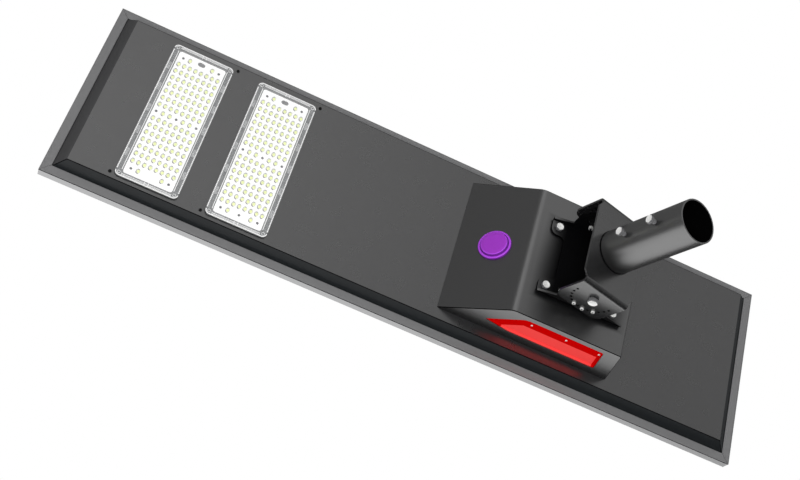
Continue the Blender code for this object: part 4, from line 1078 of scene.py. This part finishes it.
# The plug of a lead slot: its size as a share of the slot's, and its height
LEAD_PLUG = ((0.98, -0.0004), (0.98, BOARD_TOP), (0.9, BOARD_TOP + 0.0006), (0.5, BOARD_TOP + 0.0009))


def light_places():
    """(x, y) of every light of a module: full rows, a middle row broken for screws, and two past each end."""
    pitch_x, pitch_y = LIGHT_PITCH
    places = []
    for row in range(LIGHT_ROWS):
        y = (row - (LIGHT_ROWS - 1) / 2) * pitch_y
        if row == LIGHT_ROWS // 2:
            places += [(LIGHT_SPAN / 6 * step, y) for step in (-2, -1, 1, 2)]
        else:
            places += [(column * pitch_x - LIGHT_SPAN / 2, y) for column in range(LIGHT_COLUMNS)]
    return places + [(x, y) for y in (-PAST_ROWS, PAST_ROWS) for x in (-2 * pitch_x, 2 * pitch_x)]


def board_screw_places(module):
    places = [(LIGHT_SPAN / 2 * step, 0.0) for step in (-1, 0, 1)]
    places += [(x, y) for y in (-PAST_ROWS, PAST_ROWS) for x in (-BOARD_SCREW_X, BOARD_SCREW_X)]
    return places + [(0.0, PAST_ROWS)] if module == "inner" else places


def lens_ring(border_x, border_y, height):
    """The lens's outline, moved in from its sides and from its ends."""
    size = (LENS_SIZE[0] - 2 * border_x, LENS_SIZE[1] - 2 * border_y)
    return level(rounded_rectangle(size, max(0.002, LENS_CORNER - border_x)), height)


def lens_body(shape):
    """The clear cover: a rim, a channel, a raised plate and a hollow for the board."""
    side, end = PLATE_BORDERS
    cavity = rounded_rectangle(CAVITY_SIZE, CAVITY_CORNER)
    rings = [level(cavity, PLATE_HOLLOW), level(cavity, LENS_SEAT)]
    rings += [lens_ring(inset, inset, height) for inset, height in LENS_RIM]
    rings += [lens_ring(side + inset, end + inset, height) for inset, height in PLATE_STEP]
    for face in skin(shape, rings):
        middle = face.calc_center_median()
        over = abs(middle.x) < LENS_SIZE[0] / 2 - side and abs(middle.y) < LENS_SIZE[1] / 2 - end
        if over and middle.z > PLATE_HOLLOW - 0.0005:
            face.material_index = PLATE


def end_bead(shape, side, heights):
    """A bead that runs round one end of the lens and both its corners."""
    low, high = heights
    outer, inner = (
        [point for point in rounded_rectangle([size - 2 * inset for size in LENS_SIZE], LENS_CORNER - inset)
         if point[1] * side > 0] for inset in END_BEAD)
    skin(shape, [
        [Vector((*out, low)), Vector((*out, high)), Vector((*within, high)), Vector((*within, low))]
        for out, within in zip(outer, inner)], RIB)


def lens_details(shape, pitch):
    """Beads on the rim, ribs along the plate, bars and tabs on the ends, frosted pads and corner rings."""
    half_x, half_y = LENS_SIZE[0] / 2, LENS_SIZE[1] / 2
    bead, rib = ((top - rise, top + rise) for top, rise in ((FLANGE_TOP, BEAD_RISE), (PLATE_TOP, RIB_RISE)))
    foot, lip = FLANGE_TOP - SUNK, FLANGE_TOP + PROUD
    count = int((LENS_SIZE[1] - BEADS_SHORT_OF_ENDS) / pitch)
    for side in (-1, 1):
        for step in range(count):
            centre = (side * (half_x - BEAD_IN), (step - (count - 1) / 2) * pitch)
            block(shape, centre, (BEAD_HALF_WIDTH, pitch * BEAD_PER_PITCH), bead, RIB)
        end_bead(shape, side, bead)
        rib_x = side * (half_x - PLATE_BORDERS[0] - RIB_IN)
        block(shape, (rib_x, 0), (RIB_HALF_WIDTH, half_y - RIB_SHORT_OF_END), rib, RIB)
        for inward, half in END_BARS:
            block(shape, (0, side * (half_y - inward)), (half_x - BAR_SHORT_OF_SIDE, half), (foot, lip), RIB)
        for x in (-TAB_X, TAB_X):
            block(shape, (x, side * (half_y - TAB_IN)), TAB_HALF, (foot, FLANGE_TOP + TAB_RISE), RIB)
        for sixth in range(1, 6):
            x, y = side * (half_x - PAD_IN), LENS_SIZE[1] * sixth / 6 - half_y
            points = [(x + a, y + b) for a, b in rounded_rectangle(PAD_SIZE, PAD_CORNER, 3)]
            skin(shape, [level(points, FLANGE_TOP - depth) for depth in PAD_DEPTHS], PAD)
        for end in (-1, 1):
            wide, narrow = RING_RADII
            profile = ((wide, foot), (wide, lip), (narrow, lip), (narrow, foot))
            centre = (side * (half_x - RING_IN), end * (half_y - RING_IN))
            turned(shape, profile, 28, centre, RIB, looped=True)


def foot_slot(angle):
    """The slot of a light's foot at an angle from the lamp end: painted shade, half shade, or pale only on
    the side of the pole.
    """
    if any(low < angle < high for low, high in PAINTED_SHADE_ARCS):
        return DARK
    return HALF_DARK if PAINTED_HALF_SHADE_ARC[0] < angle < PAINTED_HALF_SHADE_ARC[1] else PALE


def oval(radius, sides, centre):
    return [(x, centre[1] + (y - centre[1]) * LIGHT_STRETCH) for x, y in circle(radius, sides, centre)]


def clear_domes(shape, radius, height):
    """A clear oval dome on the plate over every light."""
    for centre in light_places():
        rings = [level(oval(radius * reach, 16, centre), PLATE_TOP + height * up) for reach, up in DOME_STEPS]
        skin(shape, rings, DOME)


def light_cores(shape, radius):
    """Every light on the board: an oval foot and a core set off towards the pole, with a painted pale side
    and painted shade round the foot.
    """
    sides, foot = 20, BOARD_TOP + CORE_FOOT
    for x, y in light_places():
        top = (x - radius * CORE_OFF, y)
        rings = [level(oval(radius, sides, (x, y)), height) for height in (BOARD_TOP - CORE_FOOT, foot)]
        for reach, up in CORE_STEPS:
            rings.append(level(oval(radius * reach, sides, top), foot + CORE_HEIGHT * up))
        for face in skin(shape, rings):
            spoke = face.calc_center_median()
            if spoke.z > foot + CORE_HEIGHT * CROWN_FROM:
                face.material_index = CROWN
            elif spoke.z > foot + CORE_HEIGHT * PALE_FROM:
                face.material_index = PALE
            else:
                face.material_index = foot_slot(math.degrees(math.atan2(spoke.y - y, spoke.x - x)))


def lead_plug(shape):
    slot = rounded_rectangle(LEAD_SLOT, LEAD_SLOT[1] * 0.49)
    y = -PAST_ROWS - LEAD_SLOT_PAST_ROW
    skin(shape, [level([(a * size, b * size + y) for a, b in slot], height) for size, height in LEAD_PLUG])


class LAMP_OT_light_modules(bpy.types.Operator):
    """Make both light modules: boards, screws, clear lenses and a dome on each light"""

    bl_idname = "street_lamp.light_modules"
    bl_label = "Light modules"

    def execute(self, context):
        sizes = context.scene.lamp_sizes
        for name, middle in MODULES:
            place = under_tray(middle, MODULE_Y)
            paint_nodes("white_board", f"led_board_{name}")
            paint_nodes("grey_rubber", f"led_seal_{name}")
            shape = bmesh.new()
            lens_body(shape)
            lens_details(shape, sizes.rib_pitch)
            clear_domes(shape, sizes.light_radius, sizes.light_height)
            lens = piece(f"lens_{name}", shape, LENS_FINISHES, "lamp_head", place)
            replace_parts(lens, f"led_lens_{name}")
            shape = bmesh.new()
            light_cores(shape, sizes.light_radius)
            piece(f"lights_{name}", shape, LIGHT_FINISHES, "lamp_head", place)
            shape = bmesh.new()
            for centre in board_screw_places(name):
                cross_screw(
                    shape, centre, sizes.board_screw / 2, BOARD_SCREW_HEIGHT, BOARD_TOP - BOARD_SCREW_SUNK)
            # The board screws' crosses are painted black, a painted shade
            coats = ["dark_steel_and_recess_shade", "black_oxide"]
            piece(f"board_screws_{name}", shape, coats, "lamp_head", place)
            shape = bmesh.new()
            lead_plug(shape)
            piece(f"lead_plug_{name}", shape, ["grey_rubber"], "lamp_head", place)
        return {"FINISHED"}


# Half the box's width at the tray and at its floor, and how deep the windows sit in its sides
BOX_HALF_WIDTHS = (0.130, 0.124)
BOX_DEPTH = 0.0775
WINDOW_DEPTH = 0.004
WINDOW_PAN_Y = 0.1195
# A window's edges, as a share of the other sheets' rounding
WINDOW_EDGE = 0.6
WINDOW_SCREWS_X, WINDOW_SCREWS_DOWN = (0.0614, -0.0024, -0.0638), 0.0531
WINDOW_SCREW_HEIGHT, WINDOW_SCREW_SUNK = 0.0012, 0.0001


def window_back(depth):
    """How far out the back of a window lies at a depth below the tray, even with the side of the box."""
    tray, floor = BOX_HALF_WIDTHS
    return tray + (floor - tray) * depth / BOX_DEPTH - WINDOW_DEPTH


def lift_pan(window):
    """Lays the back of a window even with the side of the box, which leans in."""
    points = [vertex.co for vertex in window.data.vertices if abs(vertex.co.y) < WINDOW_PAN_Y]
    inmost = max(abs(point.y) for point in points)
    for point in points:
        point.y += math.copysign(window_back(TRAY_Z - point.z) - inmost, point.y)


class LAMP_OT_battery_box(bpy.types.Operator):
    """Make the battery box, its red side windows with their screws, and what it holds"""

    bl_idname = "street_lamp.battery_box"
    bl_label = "Battery box"

    def execute(self, context):
        sizes = context.scene.lamp_sizes
        box = rounded_node(
            "battery_box", "box_shell", sizes.box_edge, "box_powder_coat",
            pick=fold_edges)
        # The box's rounded folds are painted black, a painted shade line along them
        paint_faces(box, "black_seal_and_painted_shade", rounded_faces(box))
        # The window screws' crosses take the painted shade of their recess
        coats = ["bright_zinc", "dark_steel_and_recess_shade"]
        edge = sizes.sheet_edge * WINDOW_EDGE
        for side, y in SIDES:
            lift_pan(rounded_node(
                f"side_window_{side}", f"window_{side}", edge, "red_lacquer"))
            for number, x in enumerate(WINDOW_SCREWS_X, 1):
                shape = bmesh.new()
                cross_screw(shape, (0, 0), sizes.window_screw / 2, WINDOW_SCREW_HEIGHT, -WINDOW_SCREW_SUNK)
                point = Vector((x, y * window_back(WINDOW_SCREWS_DOWN), TRAY_Z - WINDOW_SCREWS_DOWN))
                place = HEAD @ along(Vector((0, y, 0)), Vector((1, 0, 0)), point)
                piece(f"window_screw_{side}_{number}", shape, coats, "lamp_head", place)
        paint_nodes("bright_zinc", "backing_plate", "battery_strap")
        paint_nodes("battery_wrap", "battery_pack")
        paint_nodes("anodised_rail", "charge_controller")
        return {"FINISHED"}


# How far down the slope the sensor sits, and its lens's section: a flange, a groove and a raised face
SENSOR_ALONG_SLOPE = 0.0695
SENSOR_PROFILE = (
    (0.0272, 0.0002), (0.0290, 0.0002), (0.0290, 0.0024), (0.0284, 0.0034), (0.0274, 0.0040),
    (0.0262, 0.0042), (0.0252, 0.0040), (0.0246, 0.0034), (0.0240, 0.0034), (0.0236, 0.0050),
    (0.0232, 0.0074), (0.0226, 0.0081), (0.0218, 0.0084), (0.0150, 0.0085), (0.0080, 0.0085),
    (0.0030, 0.0085))
# Radii of the raised face, of the groove's wall and of the flange's wall. The walls and the groove take a
# painted shade, the flange top and the face's edge a painted highlight
SENSOR_FACE, SENSOR_GROOVE, SENSOR_WALL = 0.0220, (0.0234, 0.0253), 0.0286


class LAMP_OT_sensor(bpy.types.Operator):
    """Make the purple sensor lens in the slope of the box"""

    bl_idname = "street_lamp.sensor"
    bl_label = "Sensor"

    def execute(self, context):
        way = BOX_SLOPE.normalized()
        point = Vector((BOX_TIP_X, 0, TRAY_Z)) + way * SENSOR_ALONG_SLOPE
        place = HEAD @ along(Vector((-way.z, 0, way.x)), Vector((0, 1, 0)), point)
        shape = bmesh.new()
        for face in turned(shape, SENSOR_PROFILE, 96):
            reach = max(vertex.co.xy.length for vertex in face.verts)
            if reach > SENSOR_WALL or SENSOR_GROOVE[0] < reach < SENSOR_GROOVE[1]:
                face.material_index = 2
            elif reach > SENSOR_FACE:
                face.material_index = 1
        coats = ["purple_lens", "purple_rim_painted_highlight", "purple_wall_painted_shade"]
        lens = piece("sensor_dome", shape, coats, "lamp_head", place)
        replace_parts(lens, "sensor_lens")
        paint_nodes("black_plastic", "sensor_nut")
        paint_nodes("green_board", "sensor_board")
        return {"FINISHED"}


WHITE = (1, 1, 1, 1)

CAMERA_PLACE = Vector((1.1244, -1.1574, -1.1520))
CAMERA_RIGHT = Vector((-0.7531, 0.2610, -0.6039))
CAMERA_UP = Vector((0.5119, 0.8092, -0.2885))
CAMERA_SENSOR_MM, CAMERA_NEAREST = 36, 0.01

# How far the floor's brightness in a gloss rises along x, and between which places it falls along y
FLOOR_RISES_OVER, FLOOR_FALLS = 4.5, (-1.5, 3.0)
FLOOR_SEEN = 0.5
# The dark ring's shade, and between which places along y it turns from its near to its far brightness
FLAG_SHADE, FLAG_TURNS = (0.25, 0.25, 0.25, 1), (-5.0, 0.0)
# The dark canopy round the lamp, in degrees from +X, and its height, in degrees above the ground
CANOPY_TURNS, CANOPY_RISES = range(-40, 211, 5), range(12, 91, 6)
FILL_PLACE, FILL_TARGET = Vector((1.75, -1.99, -2.18)), Vector((0.25, 0, 0.30))
FILL_SIZE, FILL_POWER = 1.6, 100


def stage_object(name, shape, material):
    mesh = bpy.data.meshes.new(name)
    shape.to_mesh(mesh)
    shape.free()
    mesh.materials.append(material)
    made = bpy.data.objects.new(name, mesh)
    bpy.context.scene.collection.objects.link(made)
    return made


def unseen_by(made, *rays):
    for ray in rays:
        setattr(made, f"visible_{ray}", False)


def mirrored_as(material, strength):
    """Gives a stage material its own brightness where a gloss mirrors it."""
    tree = material.node_tree
    out, shader = tree.nodes["Material Output"], tree.nodes["Principled BSDF"]
    even = add(tree, "Emission", {"Color": WHITE, "Strength": strength})
    gloss = add(tree, "LightPath").outputs["Is Glossy Ray"]
    both = add(tree, "MixShader", {0: gloss, 1: shader.outputs[0], 2: even.outputs[0]})
    tree.links.new(both.outputs[0], out.inputs["Surface"])


def set_camera(scene, lens):
    camera = bpy.data.objects.new("camera", bpy.data.cameras.new("camera"))
    scene.collection.objects.link(camera)
    camera.data.sensor_fit, camera.data.sensor_width = "HORIZONTAL", CAMERA_SENSOR_MM
    camera.data.lens, camera.data.clip_start = lens, CAMERA_NEAREST
    camera.matrix_world = along(CAMERA_RIGHT.cross(CAMERA_UP), CAMERA_RIGHT, CAMERA_PLACE)
    scene.camera = camera
    scene.view_settings.view_transform = "Standard"


def set_sky(scene, strength):
    """A plain sky that is white to the camera, off a gloss and through glass."""
    world = bpy.data.worlds.new("sky")
    world.use_nodes = True
    tree = world.node_tree
    light = tree.nodes["Background"]
    light.inputs["Color"].default_value, light.inputs["Strength"].default_value = WHITE, strength
    backdrop = add(tree, "Background", {"Color": WHITE, "Strength": 1.0})
    path = add(tree, "LightPath").outputs
    seen = math_node(tree, "MAXIMUM", path["Is Camera Ray"], path["Is Glossy Ray"])
    seen = math_node(tree, "MAXIMUM", seen, path["Is Transmission Ray"])
    both = add(tree, "MixShader", {0: seen, 1: light.outputs[0], 2: backdrop.outputs[0]})
    tree.links.new(both.outputs[0], tree.nodes["World Output"].inputs["Surface"])
    scene.world = world


def set_floor(studio):
    """A pale floor. In a gloss it is brighter towards the lamp end and darker on the near side."""
    pale, tree, inputs = surface(
        "studio_floor", Roughness=0.8, Specular_IOR_Level=0.1, Base_Color=(*studio.floor, 1.0),
        Emission_Color=WHITE)
    seen = add(tree, "LightPath").outputs["Is Camera Ray"]
    join(tree, inputs, Emission_Strength=math_node(tree, "MULTIPLY", seen, FLOOR_SEEN))
    x, y, _ = apart(tree, object_place(tree))
    brightest = studio.floor_mirrored + studio.floor_rise * FLOOR_RISES_OVER
    rise = ramp(tree, x, 0.0, FLOOR_RISES_OVER, studio.floor_mirrored, brightest)
    mirrored_as(pale, math_node(tree, "MULTIPLY", rise, ramp(tree, y, *FLOOR_FALLS, studio.floor_near, 1.0)))
    shape = bmesh.new()
    bmesh.ops.create_circle(shape, cap_ends=True, radius=studio.flag_radius * 1.5, segments=96)
    bmesh.ops.translate(shape, verts=shape.verts, vec=(0, 0, -studio.floor_drop))
    stage_object("studio_floor", shape, pale)


def canopy(radius):
    """Part of a dome, from its foot to its top."""
    shape, rows = bmesh.new(), []
    for rise in map(math.radians, CANOPY_RISES):
        reach, height = radius * math.cos(rise), radius * math.sin(rise)
        rows.append([
            shape.verts.new((reach * math.cos(turn), reach * math.sin(turn), height))
            for turn in map(math.radians, CANOPY_TURNS)])
    for low, high in zip(rows, rows[1:]):
        for index in range(len(low) - 1):
            shape.faces.new((low[index], low[index + 1], high[index + 1], high[index]))
    return shape


def set_flags(studio):
    """A dark ring round the lamp, and a dark canopy, open on the near side, that only a gloss shows."""
    dark, tree, _ = surface("studio_flag", Roughness=0.9, Specular_IOR_Level=0.0, Base_Color=FLAG_SHADE)
    y = apart(tree, object_place(tree))["Y"]
    mirrored_as(dark, ramp(tree, y, *FLAG_TURNS, studio.flag_near, studio.flag_mirrored))
    radius = studio.flag_radius
    shape = bmesh.new()
    turned(shape, ((radius, -studio.floor_drop), (radius, studio.flag_top)), 96)
    for face in [face for face in shape.faces if len(face.verts) > 4]:
        shape.faces.remove(face)
    unseen_by(stage_object("studio_flag", shape, dark), "camera", "transmission")
    shape = canopy(radius)
    unseen_by(stage_object("studio_canopy", shape, dark), "camera", "transmission", "diffuse", "shadow")


def set_fill(scene):
    data = bpy.data.lights.new("fill_lamp", "AREA")
    data.shape, data.size, data.energy = "DISK", FILL_SIZE, FILL_POWER
    fill = bpy.data.objects.new("fill_lamp", data)
    scene.collection.objects.link(fill)
    fill.matrix_world = along(FILL_PLACE - FILL_TARGET, Vector((0, 1, 0.01)), FILL_PLACE)
    unseen_by(fill, "camera", "glossy")


class LAMP_OT_studio(bpy.types.Operator):
    """Set the floor, the light and the camera"""

    bl_idname = "street_lamp.studio"
    bl_label = "Studio"

    def execute(self, context):
        scene, studio = context.scene, context.scene.lamp_studio
        set_camera(scene, studio.lens)
        set_sky(scene, studio.sky)
        set_floor(studio)
        set_flags(studio)
        set_fill(scene)
        return {"FINISHED"}


class LAMP_PT_finish(bpy.types.Panel):
    """Lists the steps that dress the lamp."""

    bl_idname = "LAMP_PT_finish"
    bl_label = "Street Lamp"
    bl_space_type = "VIEW_3D"
    bl_region_type = "UI"
    bl_category = "Street Lamp"

    def draw(self, context):
        for operator in STEPS:
            self.layout.operator(operator.bl_idname)
        for owner in (context.scene.lamp_finishes, context.scene.lamp_sizes, context.scene.lamp_studio):
            column = self.layout.column()
            for name in owner.__annotations__:
                column.prop(owner, name)


STEPS = (
    LAMP_OT_studio, LAMP_OT_sleeve, LAMP_OT_base_bracket, LAMP_OT_bolts, LAMP_OT_panel, LAMP_OT_tray,
    LAMP_OT_light_modules, LAMP_OT_battery_box, LAMP_OT_sensor,
)
GROUPS = (("lamp_finishes", LampFinishes), ("lamp_sizes", LampSizes), ("lamp_studio", LampStudio))
CLASSES = (*(group for _, group in GROUPS), *STEPS, LAMP_PT_finish)


def register():
    for cls in CLASSES:
        bpy.utils.register_class(cls)
    for name, group in GROUPS:
        setattr(bpy.types.Scene, name, PointerProperty(type=group))


def unregister():
    for name, _ in GROUPS:
        delattr(bpy.types.Scene, name)
    for cls in reversed(CLASSES):
        bpy.utils.unregister_class(cls)


def main():
    register()
    bpy.ops.street_lamp.studio()
    bpy.ops.street_lamp.sleeve()
    bpy.ops.street_lamp.base_bracket()
    bpy.ops.street_lamp.bolts()
    bpy.ops.street_lamp.panel()
    bpy.ops.street_lamp.tray()
    bpy.ops.street_lamp.light_modules()
    bpy.ops.street_lamp.battery_box()
    bpy.ops.street_lamp.sensor()


if __name__ == "__main__":
    main()
